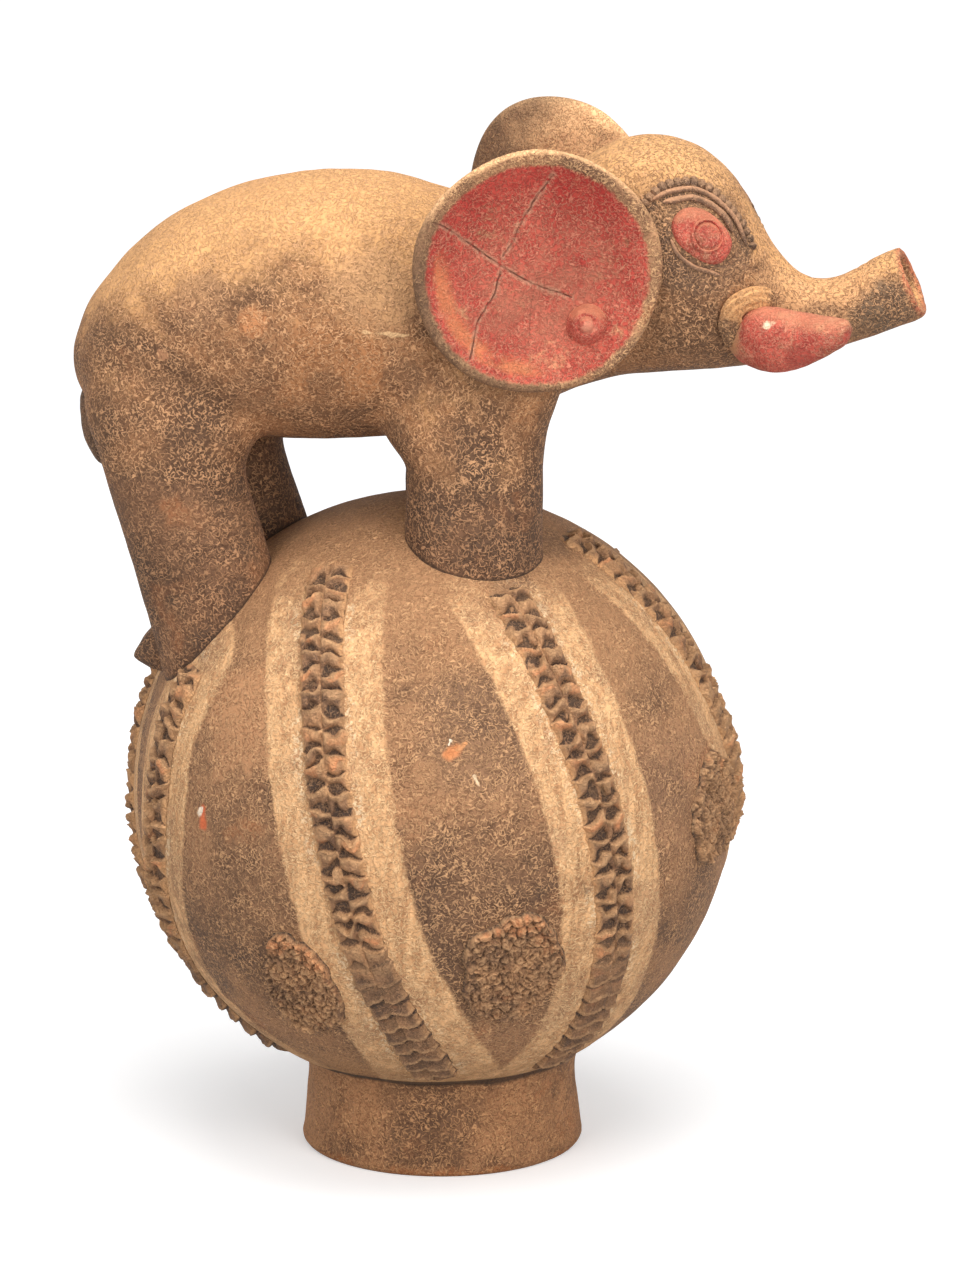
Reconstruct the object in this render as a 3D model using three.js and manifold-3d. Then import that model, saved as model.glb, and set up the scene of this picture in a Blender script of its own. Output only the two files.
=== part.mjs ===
/**
 * Figural terracotta vessel: a hollow elephant standing on a ribbed globe with a low foot ring.
 * Millimetres, +Z up, the elephant looks along +X and its right side faces -Y.
 * The trunk, head, body, legs and globe share one hollow; the open trunk tip is the mouth.
 */
import * as THREE from 'three';
import { mergeVertices, toCreasedNormals } from 'three/addons/utils/BufferGeometryUtils.js';
import Module from 'manifold-3d';

// Clearances and clay thickness
const lute = 0.3;
const wall = 8.5;
const creaseAngle = 0.6;

// Globe and foot ring
const globeRadius = 167;
const globeWall = 9;
const globeSeat = 35.3;
const globeHeight = globeSeat + globeRadius;
const globeTop = globeHeight + globeRadius;
const globeForward = -2;
const footFoot = 78.5;
const footTop = 74.5;
const footWall = 11.5;
const footInner = footTop - footWall;
const footWaist = 42;
const footFlare = 5;
const footSeat = 6.6;
const footForward = 2;

// Joint planes of the elephant
const legJointRise = 22.7;
const legJointHeight = globeTop + legJointRise;
const neckForward = 82;

// Ears
const earRadius = 67;
const earDish = 12;
const earWall = 9;
const earStand = 16;
const earTilt = THREE.MathUtils.degToRad(4);
const ears = {
  right: { side: -1, forward: 65, height: 516, turn: 12, squeeze: 1, roll: 0, step: 0 },
  left: { side: 1, forward: 61.5, height: 516.5, turn: 22, squeeze: 0.9, roll: -8, step: 3.5 },
};
const bossForward = 0.418 * earRadius;
const bossDrop = 0.448 * earRadius;
const bossRadius = 10.5;
const bossSink = 3;
const bossSlope = 0.25;

// Dish of an ear from its rim to its middle: share of the radius, share of the depth
const earProfile = [[0.84, 0], [0.58, 0.72], [0.3, 0.95], [0, 1]];

// Ribs and roundels on the globe
const ribWidth = 27;
const ribEdge = 1.8;
const ribFoot = lute + ribWidth * ribWidth / (8 * globeRadius);
const ribCrest = 5;
const ribSway = 6;
const pinchPitch = 11;
const roundelEdge = 1.5;
const roundelRise = 3.8;

// Every height of the elephant below is written for a globe whose top is at this height, and
// moves with the top of the globe
const sketchedTop = 369.3;
const elephantLift = globeTop - sketchedTop;

// Outline of the elephant from rump to trunk tip, one row to a station:
// top forward, top height, underside forward, underside height, half width
const outline = [
  [-203.5, 446, -203.5, 446, 0],
  [-200.5, 458.5, -200.5, 434, 17],
  [-194.5, 474, -194, 421, 33],
  [-184, 489.5, -184, 410.5, 47],
  [-166, 510, -166, 404.5, 59],
  [-141, 528.5, -140, 402.5, 67],
  [-105, 544, -108, 402.5, 72],
  [-65, 551.5, -70, 403, 74],
  [-30, 551.5, -35, 405, 73],
  [0, 544.5, 0, 409, 69],
  [28, 538.5, 30, 416, 63],
  [52, 544, 58, 427, 58],
  [76, 560, 82, 438, 55.5],
  [98, 573, 104, 444, 55],
  [120, 577, 126, 446.5, 55],
  [143, 571, 147, 448.5, 52.5],
  [160.5, 557.5, 164, 450.5, 47],
  [173, 538, 178, 452.5, 39],
  [185.5, 516.5, 191, 455, 30.5],
  [198, 503, 204, 457.5, 24],
  [212, 499.5, 219, 462, 20.5],
  [226, 504, 235, 467.5, 19.5],
  [240, 512.5, 251, 473.5, 19.5],
  [254.5, 520, 271, 481.5, 21],
  [267, 526, 284, 488, 21],
  [276, 508, 276, 508, 0],
];
const neckRow = outline[outline.length - 15];
const earOut = neckRow[4] + earStand;
const trunkRow = outline.length - 7;
const mouthRow = outline.length - 3;

// Legs from the bottom up, one row to a level:
// height, back, front, outer face, inner face (the last two measured from the mid-plane)
const rearLeg = [
  [238, -111, -79, 52, 28],
  [248, -134, -60, 68, 12],
  [275, -146.5, -67, 72, 10],
  [310, -155.5, -77.5, 72, 10],
  [345, -166, -88, 71.5, 9],
  [375, -175.5, -97.5, 70.5, 8],
  [392, -181, -101, 70, 7],
  [404, -185.5, -97, 69.5, 3],
  [418, -190.5, -90, 69, -3],
  [438, -190, -98, 66, 4],
  [456, -178, -116, 60, 14],
  [470, -148, -146, 37, 35],
];
const rearLegLeftShift = 8;
const frontLegLeftShift = -12.5;
const frontLeg = [
  [300, 12, 42, 58, 30],
  [310, -6, 60, 77, 10],
  [335, -11.5, 64.5, 81, 7],
  [365, -11.5, 64, 81, 7],
  [392, -10.5, 64, 79.5, 6],
  [402, -12.5, 64, 79, 4],
  [417, -25, 65, 76.5, -4],
  [432, -25, 70, 74, -2],
  [446, -20, 74, 71, 4],
  [464, -12, 70, 67.5, 12],
  [482, 8, 52, 61, 26],
  [492, 29, 31, 44, 42],
];
const heelProud = 1.65;
const heelRise = 13;
const heelOut = 36;
const heelSize = new THREE.Vector3(13, 17, 16);

// Tail drop from its root to its tip: forward, height, radius
const tailLine = [
  [-182, 440, 0],
  [-188.5, 432, 6],
  [-192, 421, 7.5],
  [-192, 408, 7.5],
  [-190, 396, 7],
  [-186.5, 386, 5.5],
  [-185, 380.5, 0],
];

// Head features as [forward, roll]: roll is the angle in degrees above the horizontal, seen
// from the line through the middle of the head at headCore height
const headRow = outline[outline.length - 12];
const headCore = THREE.MathUtils.lerp(headRow[3], headRow[1], 0.448);
const seatReach = 2 * earOut;
const eyeRear = [134.6, 40.4];
const eyeFront = [166, 16.7];
const eyeMiddle = [151, 30.5];
const eyeSize = new THREE.Vector3(21.5, 13.5, 6.5);
const eyeSink = 2;
const pupilSpot = [154.8, 34.5];
const pupilRadius = 8.6;
const browOuter = [[123.2, 49.2], [133.5, 55.1], [144.5, 57.7], [156.1, 57.9], [165.3, 53.2],
  [171.9, 43.4], [175.5, 29.7]];
const browInner = [[131.4, 47.9], [141.8, 52.2], [150.6, 54], [160.1, 50.3], [167.1, 42.5]];
const browNotches = [[118, 43], [129, 56], [143, 63.5], [155, 64.5], [165.5, 60], [173, 50],
  [177.5, 35]];
const notchPitch = 7;
const notchRadius = 4.2;
const notchWaist = 2.6;
const lidLine = [[134.9, 27], [141.5, 17], [151.6, 11.5], [162.3, 9]];
const foldLine = [[160.8, -8.3], [171, -11.5], [180, -17], [187.5, -27]];
const browRadius = 3;
const lidRadius = 2.6;
const foldRadius = 4;

// Near tusk from root to tip: forward, out from the mid-plane, height, half height, half width
const tuskLine = [
  [154, 26, 477, 0, 0],
  [162, 30, 475.5, 13, 10],
  [176, 37, 474, 17.5, 13],
  [192, 42, 472.5, 18.5, 13.5],
  [206, 45, 474, 17, 13],
  [218, 47, 477.5, 13.5, 11],
  [227, 48, 481, 8.5, 8],
  [232.5, 48.5, 482.5, 0, 0],
];

// Centre lines of the ribs on the globe, as rows of [longitude, latitude] in degrees:
// longitude 0 faces -Y and 90 faces +X
const ribLines = [
  [[-92, 24], [-87, 12], [-83, 0], [-81, -25], [-79, -57]],
  [[-60, 30], [-59, 18], [-58, 0], [-64, -26], [-65, -41], [-55, -57]],
  [[-27, 54], [-18, 34], [-11, 8], [-4, -22], [9, -57]],
  [[32, 53], [37, 31], [42, 5], [47, -27], [50, -57]],
  [[84, 56], [85, 40], [87, 22], [93, 6], [96, 0], [103, -8], [110, -14],
    [118, -30], [128, -57]],
  [[136, 46], [135, 28], [139, 5], [146, -25], [153, -57]],
  [[166, 50], [171, 28], [179, 3], [186, -25], [194, -57]],
  [[208, 46], [214, 26], [222, 2], [229, -25], [237, -57]],
];
// Roundels: longitude, latitude, half width, half height, outline seed
const roundels = [
  [23.7, -21, 29, 36, 1],
  [-21, -27, 23, 37, 2],
  [76.5, 2, 32, 31, 3],
  [130, -12, 24, 34, 4],
  [165, -22, 26, 35, 5],
  [208, -18, 29, 33, 6],
];

const wasm = await Module();
wasm.setup();

/** Copy of a geometry with only welded positions left. */
function welded(geometry) {
  const bare = geometry.clone();
  bare.deleteAttribute('normal');
  bare.deleteAttribute('uv');
  return mergeVertices(bare, 1e-4);
}

/** Closed geometry as a solid that can be joined or cut. */
function solid(geometry) {
  const bare = welded(geometry);
  return new wasm.Manifold(new wasm.Mesh({
    numProp: 3,
    vertProperties: new Float32Array(bare.attributes.position.array),
    triVerts: new Uint32Array(bare.index.array),
  }));
}

/** Solid as a geometry with soft shading and crisp edges. */
function geometryOf(body) {
  const { vertProperties, triVerts } = body.getMesh();
  const geometry = new THREE.BufferGeometry();
  geometry.setAttribute('position', new THREE.BufferAttribute(vertProperties, 3));
  geometry.setIndex(new THREE.BufferAttribute(triVerts, 1));
  return toCreasedNormals(geometry, creaseAngle);
}

/** Geometry moved along its own surface normals by a distance. */
function grown(geometry, distance) {
  const copy = welded(geometry);
  copy.computeVertexNormals();
  const position = copy.attributes.position;
  const normal = copy.attributes.normal;
  for (let i = 0; i < position.count; i += 1) {
    position.setXYZ(
      i,
      position.getX(i) + distance * normal.getX(i),
      position.getY(i) + distance * normal.getY(i),
      position.getZ(i) + distance * normal.getZ(i),
    );
  }
  return copy;
}

/** Very large box on the side of a plane that its normal points away from. */
function halfSpace(point, normal) {
  const size = 2000;
  const box = new THREE.BoxGeometry(size, size, size);
  box.translate(0, 0, -size / 2);
  const turn = new THREE.Quaternion().setFromUnitVectors(new THREE.Vector3(0, 0, 1), normal);
  box.applyQuaternion(turn);
  box.translate(point.x, point.y, point.z);
  return solid(box);
}

/**
 * Closed skin through oval sections. Each section has a centre, a reach to its first extreme
 * and a half width across. The first and last sections shrink to a point.
 */
function loft(sections, around, along) {
  const centres = new THREE.CatmullRomCurve3(sections.map((s) => s.centre), false, 'catmullrom');
  const reaches = new THREE.CatmullRomCurve3(sections.map((s) => s.reach), false, 'catmullrom');
  const widths = new THREE.CatmullRomCurve3(
    sections.map((s) => new THREE.Vector3(0, s.half, 0)), false, 'catmullrom');
  const geometry = new THREE.SphereGeometry(1, around, along);
  const position = geometry.attributes.position;
  const uv = geometry.attributes.uv;
  const point = new THREE.Vector3();
  for (let i = 0; i < position.count; i += 1) {
    const step = 1 - uv.getY(i);
    const angle = 2 * Math.PI * Math.round(uv.getX(i) * around) / around;
    const pole = step < 1e-6 || step > 1 - 1e-6;
    point.copy(centres.getPoint(step));
    if (!pole) {
      point.addScaledVector(reaches.getPoint(step), Math.cos(angle));
      point.addScaledVector(widths.getPoint(step), Math.sin(angle));
    }
    position.setXYZ(i, point.x, point.y, point.z);
  }
  return geometry;
}

/** Height on the elephant, moved with the top of the globe. */
function lifted(height) {
  return height + elephantLift;
}

/** Sections of the elephant's long outline. */
function outlineSections() {
  return outline.map(([topX, topZ, underX, underZ, half]) => ({
    centre: new THREE.Vector3((topX + underX) / 2, 0, lifted((topZ + underZ) / 2)),
    reach: new THREE.Vector3((topX - underX) / 2, 0, (topZ - underZ) / 2),
    half,
  }));
}

/** Sections of one leg; side is -1 for the right and 1 for the left. */
function legSections(levels, side, shift) {
  return levels.map(([height, back, front, outer, inner]) => ({
    centre: new THREE.Vector3(
      (back + front) / 2 + shift, side * (outer + inner) / 2, lifted(height)),
    reach: new THREE.Vector3((back - front) / 2, 0, 0),
    half: (outer - inner) / 2,
  }));
}

const trunkToRump = loft(outlineSections(), 22, 36);
const legNames = ['leg_rear_right', 'leg_rear_left', 'leg_front_right', 'leg_front_left'];
const legGeometry = {
  leg_rear_right: loft(legSections(rearLeg, -1, 0), 16, 10),
  leg_rear_left: loft(legSections(rearLeg, 1, rearLegLeftShift), 16, 10),
  leg_front_right: loft(legSections(frontLeg, -1, 0), 16, 10),
  leg_front_left: loft(legSections(frontLeg, 1, frontLegLeftShift), 16, 10),
};
const boreGeometry = {
  leg_rear_right: loft(legSections(rearLeg, -1, 0), 8, 6),
  leg_rear_left: loft(legSections(rearLeg, 1, rearLegLeftShift), 8, 6),
  leg_front_right: loft(legSections(frontLeg, -1, 0), 8, 6),
  leg_front_left: loft(legSections(frontLeg, 1, frontLegLeftShift), 8, 6),
};
const legBore = Object.fromEntries(
  legNames.map((name) => [name, solid(grown(boreGeometry[name], -wall))]));

/** Outside of the whole elephant, grown by a distance. */
function elephantOutside(distance) {
  return legNames.reduce(
    (whole, name) => whole.add(solid(grown(legGeometry[name], distance))),
    solid(grown(trunkToRump, distance)),
  );
}

const outside = elephantOutside(0);
const outsideClear = elephantOutside(lute);
const longHollow = solid(grown(loft(outlineSections(), 12, 20), -wall));
const hollow = legNames.reduce((whole, name) => whole.add(legBore[name]), longHollow);

/** Plane through one row of the outline, facing the trunk tip. */
function rowPlane([topX, topZ, underX, underZ]) {
  const down = new THREE.Vector3(underX - topX, 0, underZ - topZ).normalize();
  const point = new THREE.Vector3((topX + underX) / 2, 0, lifted((topZ + underZ) / 2));
  return { point, normal: new THREE.Vector3(-down.z, 0, down.x) };
}

const globeCentre = new THREE.Vector3(globeForward, 0, globeHeight);
const up = new THREE.Vector3(0, 0, 1);
const forward = new THREE.Vector3(1, 0, 0);
const neckPoint = new THREE.Vector3(neckForward, 0, 0);
const trunkPlane = rowPlane(outline[trunkRow]);
const mouthPlane = rowPlane(outline[mouthRow]);

/** Part of a solid in front of a plane, kept half a clearance away from it. */
function beyond(body, point, normal) {
  const start = point.clone().addScaledVector(normal, lute / 2);
  return body.intersect(halfSpace(start, normal.clone().negate()));
}

/** Part of a solid behind a plane, kept half a clearance away from it. */
function before(body, point, normal) {
  const end = point.clone().addScaledVector(normal, -lute / 2);
  return body.intersect(halfSpace(end, normal));
}

/** Material of fired clay. */
function clay(colour, roughness) {
  return new THREE.MeshStandardMaterial({ color: colour, roughness, metalness: 0 });
}

const brownClay = clay(0x7d5f47, 0.82);
const darkClay = clay(0x5a4332, 0.85);
const globeClay = clay(0x86674b, 0.82);
const redPigment = clay(0xb0554a, 0.8);
const paleSlip = clay(0xc8a078, 0.8);

const vessel = new THREE.Group();

/** Adds one named piece to the vessel. */
function addPiece(name, body, material) {
  const mesh = new THREE.Mesh(geometryOf(body), material);
  mesh.name = name;
  vessel.add(mesh);
}

/** Point on the globe at a longitude and latitude in degrees, lifted off its surface. */
function onGlobe(longitude, latitude, lift) {
  const lon = THREE.MathUtils.degToRad(longitude);
  const lat = THREE.MathUtils.degToRad(latitude);
  const radius = globeRadius + lift;
  return new THREE.Vector3(
    globeForward + radius * Math.cos(lat) * Math.sin(lon),
    -radius * Math.cos(lat) * Math.cos(lon),
    globeHeight + radius * Math.sin(lat),
  );
}

/** Ball about the globe's centre with its poles upright. */
function ball(radius, around, along) {
  const geometry = new THREE.SphereGeometry(radius, around, along);
  geometry.rotateX(Math.PI / 2);
  geometry.translate(globeForward, 0, globeHeight);
  return solid(geometry);
}

const globeOutside = ball(globeRadius, 36, 20);
const globeClear = ball(globeRadius + lute, 36, 20);

// Globe: hollow ball with an opening under each leg
const globeShell = globeOutside.subtract(ball(globeRadius - globeWall, 16, 10));
const globe = legNames.reduce((body, name) => body.subtract(legBore[name]), globeShell);
addPiece('globe', globe, globeClay);

/** Foot ring: turned wall with a rounded resting edge, cut to sit under the globe. */
function footRing() {
  const seatRadius = footTop + footFlare;
  const seatHeight = globeHeight - Math.sqrt(globeRadius ** 2 - seatRadius ** 2);
  const profile = [
    [footInner + 1.5, 0],
    [footFoot - 3, 0],
    [footFoot - 0.8, 1],
    [footFoot, 3.5],
    [footTop + 1, footWaist * 2 / 3],
    [footTop, footWaist],
    [seatRadius, seatHeight + footSeat / 4],
    [seatRadius, seatHeight + footSeat],
    [footInner - 2, seatHeight + footSeat],
    [footInner, 2],
    [footInner + 1.5, 0],
  ].map(([radius, height]) => new THREE.Vector2(radius, height));
  const geometry = new THREE.LatheGeometry(profile, 28);
  geometry.rotateX(Math.PI / 2);
  geometry.translate(footForward, 0, 0);
  return solid(geometry).subtract(globeClear);
}
addPiece('foot_ring', footRing(), brownClay);

// Legs: tubes from the globe to the joint plane under the belly
const legJoint = new THREE.Vector3(0, 0, legJointHeight);
for (const name of legNames) {
  const tube = before(solid(legGeometry[name]), legJoint, up)
    .subtract(globeClear)
    .subtract(legBore[name]);
  addPiece(name, tube, brownClay);
}

// Body, head and trunk: one skin parted at the neck and at the root of the trunk
const skin = outside.subtract(hollow);
const bodySkin = before(beyond(skin, legJoint, up), neckPoint, forward);
addPiece('elephant_body', bodySkin, brownClay);
const headSkin = before(
  beyond(beyond(skin, legJoint, up), neckPoint, forward), trunkPlane.point, trunkPlane.normal);
addPiece('head', headSkin, brownClay);
const trunkSkin = beyond(skin, trunkPlane.point, trunkPlane.normal)
  .intersect(halfSpace(mouthPlane.point, mouthPlane.normal));
addPiece('trunk_spout', trunkSkin, brownClay);

/** Name of a paired piece. */
function paired(name, side) {
  return `${name}_${side < 0 ? 'right' : 'left'}`;
}

/** Place on the head, with the direction that its surface faces. */
const headTarget = new THREE.Mesh(trunkToRump);
function seat([at, roll], side) {
  const angle = THREE.MathUtils.degToRad(roll);
  const out = new THREE.Vector3(0, side * Math.cos(angle), Math.sin(angle));
  const origin = new THREE.Vector3(at, 0, lifted(headCore)).addScaledVector(out, seatReach);
  const [hit] = new THREE.Raycaster(origin, out.clone().negate()).intersectObject(headTarget);
  return { point: hit.point, normal: hit.face.normal };
}

/** Round bar of clay laid along places on the head. */
function laidBar(places, radius, side) {
  const points = places.map((place) => {
    const { point, normal } = seat(place, side);
    return point.addScaledVector(normal, radius * 0.3);
  });
  const path = new THREE.CatmullRomCurve3(points);
  const disc = new THREE.Shape().absarc(0, 0, radius, 0, 2 * Math.PI);
  const bar = new THREE.ExtrudeGeometry(disc, {
    extrudePath: path,
    steps: places.length + 3,
    curveSegments: 3,
    bevelEnabled: false,
  });
  return solid(bar);
}

/** Row of pellets that run into each other along places on the head. */
function notchedRow(places, side) {
  const path = new THREE.CatmullRomCurve3(places.map((place) => seat(place, side).point));
  const steps = 2 * Math.round(path.getLength() / notchPitch);
  const row = new THREE.CylinderGeometry(1, 1, 1, 5, steps);
  const position = row.attributes.position;
  for (let i = 0; i < position.count; i += 1) {
    const t = 0.5 - position.getY(i);
    const swell = Math.round(t * steps) % 2 === 0 ? notchWaist : notchRadius;
    const ahead = path.getTangentAt(t);
    const across = new THREE.Vector3().crossVectors(ahead, up).normalize();
    const over = new THREE.Vector3().crossVectors(ahead, across);
    const spot = path.getPointAt(t)
      .addScaledVector(across, swell * position.getX(i))
      .addScaledVector(over, swell * position.getZ(i));
    position.setXYZ(i, spot.x, spot.y, spot.z);
  }
  return solid(row);
}

/** Geometry turned so that its X runs along a tangent and its Z along a normal. */
function laidOn(geometry, point, normal, tangent) {
  const across = new THREE.Vector3().crossVectors(normal, tangent).normalize();
  const along = new THREE.Vector3().crossVectors(across, normal).normalize();
  geometry.applyMatrix4(new THREE.Matrix4().makeBasis(along, across, normal));
  geometry.translate(point.x, point.y, point.z);
  return geometry;
}

/** Turned piece whose axis is local Z, from rows of [radius, height] that close on the axis. */
function turned(rows, around) {
  const geometry = new THREE.LatheGeometry(
    rows.map(([radius, height]) => new THREE.Vector2(radius, height)), around);
  return geometry.rotateX(Math.PI / 2);
}

/** Almond lump of an eye, not yet cut to the head. */
function eyeGeometry(side) {
  const geometry = new THREE.SphereGeometry(1, 12, 8);
  geometry.scale(eyeSize.x, eyeSize.y, eyeSize.z);
  const { point, normal } = seat(eyeMiddle, side);
  const tangent = seat(eyeFront, side).point.sub(seat(eyeRear, side).point);
  point.addScaledVector(normal, -eyeSink);
  return laidOn(geometry, point, normal, tangent);
}

/** Disc with a raised edge, seated on the eye. */
function pupil(side) {
  const disc = turned([
    [0, -5],
    [pupilRadius, -5],
    [pupilRadius, 0.8],
    [pupilRadius - 1.2, 1.6],
    [pupilRadius - 2.4, 0.6],
    [0, 0.4],
  ], 12);
  const { point, normal } = seat(pupilSpot, side);
  point.addScaledVector(normal, eyeSize.z - eyeSink);
  return solid(laidOn(disc, point, normal, forward));
}

/** Short horn-shaped tusk, not yet cut to the head. */
function tuskGeometry(side) {
  return loft(tuskLine.map(([at, out, height, halfHeight, half]) => ({
    centre: new THREE.Vector3(at, side * out, lifted(height)),
    reach: new THREE.Vector3(0, 0, halfHeight),
    half,
  })), 10, 8);
}

// Small pieces of the head, each cut to what it is pressed on
for (const side of [-1, 1]) {
  const eye = eyeGeometry(side);
  const eyeClear = solid(grown(eye, lute));
  const tusk = tuskGeometry(side);
  const tuskClear = solid(grown(tusk, lute));
  const outer = laidBar(browOuter, browRadius, side);
  const outerClear = laidBar(browOuter, browRadius + lute, side);
  addPiece(paired('eye', side), solid(eye).subtract(outsideClear), redPigment);
  addPiece(
    paired('pupil', side), pupil(side).subtract(eyeClear).subtract(outsideClear), darkClay);
  addPiece(paired('tusk', side), solid(tusk).subtract(outsideClear), redPigment);
  addPiece(paired('brow_outer', side), outer.subtract(outsideClear), brownClay);
  addPiece(
    paired('brow_inner', side),
    laidBar(browInner, browRadius, side)
      .subtract(outsideClear)
      .subtract(eyeClear)
      .subtract(outerClear),
    brownClay,
  );
  addPiece(
    paired('brow_notched', side),
    notchedRow(browNotches, side).subtract(outsideClear).subtract(outerClear),
    darkClay,
  );
  addPiece(
    paired('lid', side),
    laidBar(lidLine, lidRadius, side).subtract(outsideClear).subtract(eyeClear),
    brownClay,
  );
  addPiece(
    paired('tusk_fold', side),
    laidBar(foldLine, foldRadius, side).subtract(outsideClear).subtract(tuskClear),
    paleSlip,
  );
}

/** Middle of an ear's rim. */
function earMiddle({ side, forward: ahead, height, step }) {
  return new THREE.Vector3(ahead, side * (earOut + step), lifted(height));
}

/** Direction that an ear's dish faces. */
function earAxis({ side, turn }) {
  const angle = THREE.MathUtils.degToRad(turn);
  const level = Math.cos(earTilt);
  return new THREE.Vector3(
    level * Math.sin(angle), side * level * Math.cos(angle), Math.sin(earTilt));
}

/** Dished ear, not yet cut to the neck. */
function earGeometry(ear) {
  const back = -earDish - earWall;
  const dish = turned([
    [0, back],
    [0.33 * earRadius, back + 1],
    [0.63 * earRadius, 0.74 * back],
    [0.86 * earRadius, 0.42 * back],
    [earRadius, -2],
    [0.95 * earRadius, 2],
    ...earProfile.map(([share, depth]) => [share * earRadius, -depth * earDish]),
  ], 24);
  dish.scale(ear.squeeze, 1, 1);
  dish.rotateZ(ear.side * THREE.MathUtils.degToRad(ear.roll));
  return laidOn(dish, earMiddle(ear), earAxis(ear), forward);
}

/** Depth of an ear's dish at a distance from its middle. */
function dishDepth(distance) {
  const share = distance / earRadius;
  const inner = earProfile.findIndex(([at]) => at <= share);
  const [[farAt, farDepth], [nearAt, nearDepth]] = earProfile.slice(inner - 1, inner + 1);
  return earDish * THREE.MathUtils.mapLinear(share, nearAt, farAt, nearDepth, farDepth);
}

/** Cone with a nipple, standing square on the slope of an ear's dish. */
function earBoss(ear) {
  const cone = turned([
    [0, -bossSink],
    [bossRadius, -bossSink],
    [bossRadius, 1.5],
    [bossRadius * 0.6, 4.5],
    [bossRadius * 0.45, 9],
    [0, 10.5],
  ], 10);
  const axis = earAxis(ear);
  const aside = new THREE.Vector3(ear.squeeze * bossForward, 0, -bossDrop);
  aside.addScaledVector(axis, -aside.dot(axis));
  const spot = earMiddle(ear)
    .add(aside)
    .addScaledVector(axis, -dishDepth(Math.hypot(bossForward, bossDrop)));
  const lean = axis.clone().addScaledVector(aside.normalize(), -bossSlope).normalize();
  return solid(laidOn(cone, spot, lean, forward));
}

for (const ear of [ears.right, ears.left]) {
  const dish = earGeometry(ear);
  addPiece(paired('ear', ear.side), solid(dish).subtract(outsideClear), redPigment);
  addPiece(
    paired('ear_boss', ear.side),
    earBoss(ear).subtract(solid(grown(dish, lute))).subtract(outsideClear),
    redPigment,
  );
}

/** Drop of clay hanging from the rump. */
function tail() {
  const drop = loft(tailLine.map(([at, height, radius]) => ({
    centre: new THREE.Vector3(at, 0, lifted(height)),
    reach: new THREE.Vector3(radius, 0, 0),
    half: radius,
  })), 8, 8);
  return solid(drop).subtract(outsideClear);
}
addPiece('tail', tail(), darkClay);

/** How far forward the back of a rear leg is at a height. */
function rearLegBack(height) {
  const passed = rearLeg.filter(([level]) => lifted(level) <= height).length;
  const above = THREE.MathUtils.clamp(passed, 1, rearLeg.length - 1);
  const [[lowLevel, lowBack], [highLevel, highBack]] = rearLeg.slice(above - 1, above + 1);
  const share = (height - lifted(lowLevel)) / (highLevel - lowLevel);
  return THREE.MathUtils.lerp(lowBack, highBack, share);
}

/** Height at which the back of a rear leg meets the globe, found by closing in on it. */
function heelSeat() {
  let height = globeTop;
  for (let turn = 0; turn < 24; turn += 1) {
    const reach = Math.hypot(rearLegBack(height) - globeForward, heelOut);
    const met = globeHeight + Math.sqrt(Math.max(globeRadius ** 2 - reach ** 2, 0));
    height = (height + met) / 2;
  }
  return height;
}

/** Pad of clay between the back of a rear leg and the globe. */
function heel(side) {
  const pad = new THREE.SphereGeometry(1, 10, 7);
  pad.scale(heelSize.x, heelSize.y, heelSize.z);
  const shift = side > 0 ? rearLegLeftShift : 0;
  const height = heelSeat() + heelRise;
  pad.translate(rearLegBack(height) - heelProud + shift, side * heelOut, height);
  return solid(pad).subtract(outsideClear).subtract(globeClear);
}
addPiece('heel_rear_right', heel(-1), brownClay);
addPiece('heel_rear_left', heel(1), brownClay);

/** Pinched rib: a three-sided bar on the globe whose crest swings to one side, then the other. */
function rib(places) {
  const line = new THREE.CatmullRomCurve3(
    places.map(([longitude, latitude]) => new THREE.Vector3(longitude, latitude, 0)));
  const centre = (t) => {
    const place = line.getPointAt(THREE.MathUtils.clamp(t, 0, 1));
    return onGlobe(place.x, place.y, 0);
  };
  const spots = Array.from({ length: 9 }, (unused, i) => centre(i / 8));
  const steps = 2 * Math.round(new THREE.CatmullRomCurve3(spots).getLength() / pinchPitch);
  const bar = new THREE.CylinderGeometry(1, 1, 1, 3, steps);
  const position = bar.attributes.position;
  const middle = globeCentre;
  for (let i = 0; i < position.count; i += 1) {
    const t = 0.5 - position.getY(i);
    const row = Math.round(t * steps);
    const atEnd = row === 0 || row === steps;
    const out = centre(t).sub(middle).normalize();
    const along = centre(t - 0.01).sub(centre(t + 0.01)).normalize();
    const across = new THREE.Vector3().crossVectors(along, out).normalize();
    const crest = position.getZ(i) > 0.5;
    const swing = atEnd ? 0 : ribSway * (row % 2 === 0 ? 1 : -1);
    const edge = Math.sign(Math.round(position.getX(i))) * (atEnd ? 0.6 : 1) * ribWidth / 2;
    const top = atEnd ? ribEdge : ribCrest;
    const spot = out.multiplyScalar(globeRadius)
      .addScaledVector(across, crest ? swing : edge)
      .setLength(globeRadius + (crest ? top : ribFoot))
      .add(middle);
    position.setXYZ(i, spot.x, spot.y, spot.z);
  }
  return solid(bar).subtract(outsideClear);
}
ribLines.forEach((places, index) => addPiece(`rib_${index + 1}`, rib(places), darkClay));

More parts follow.
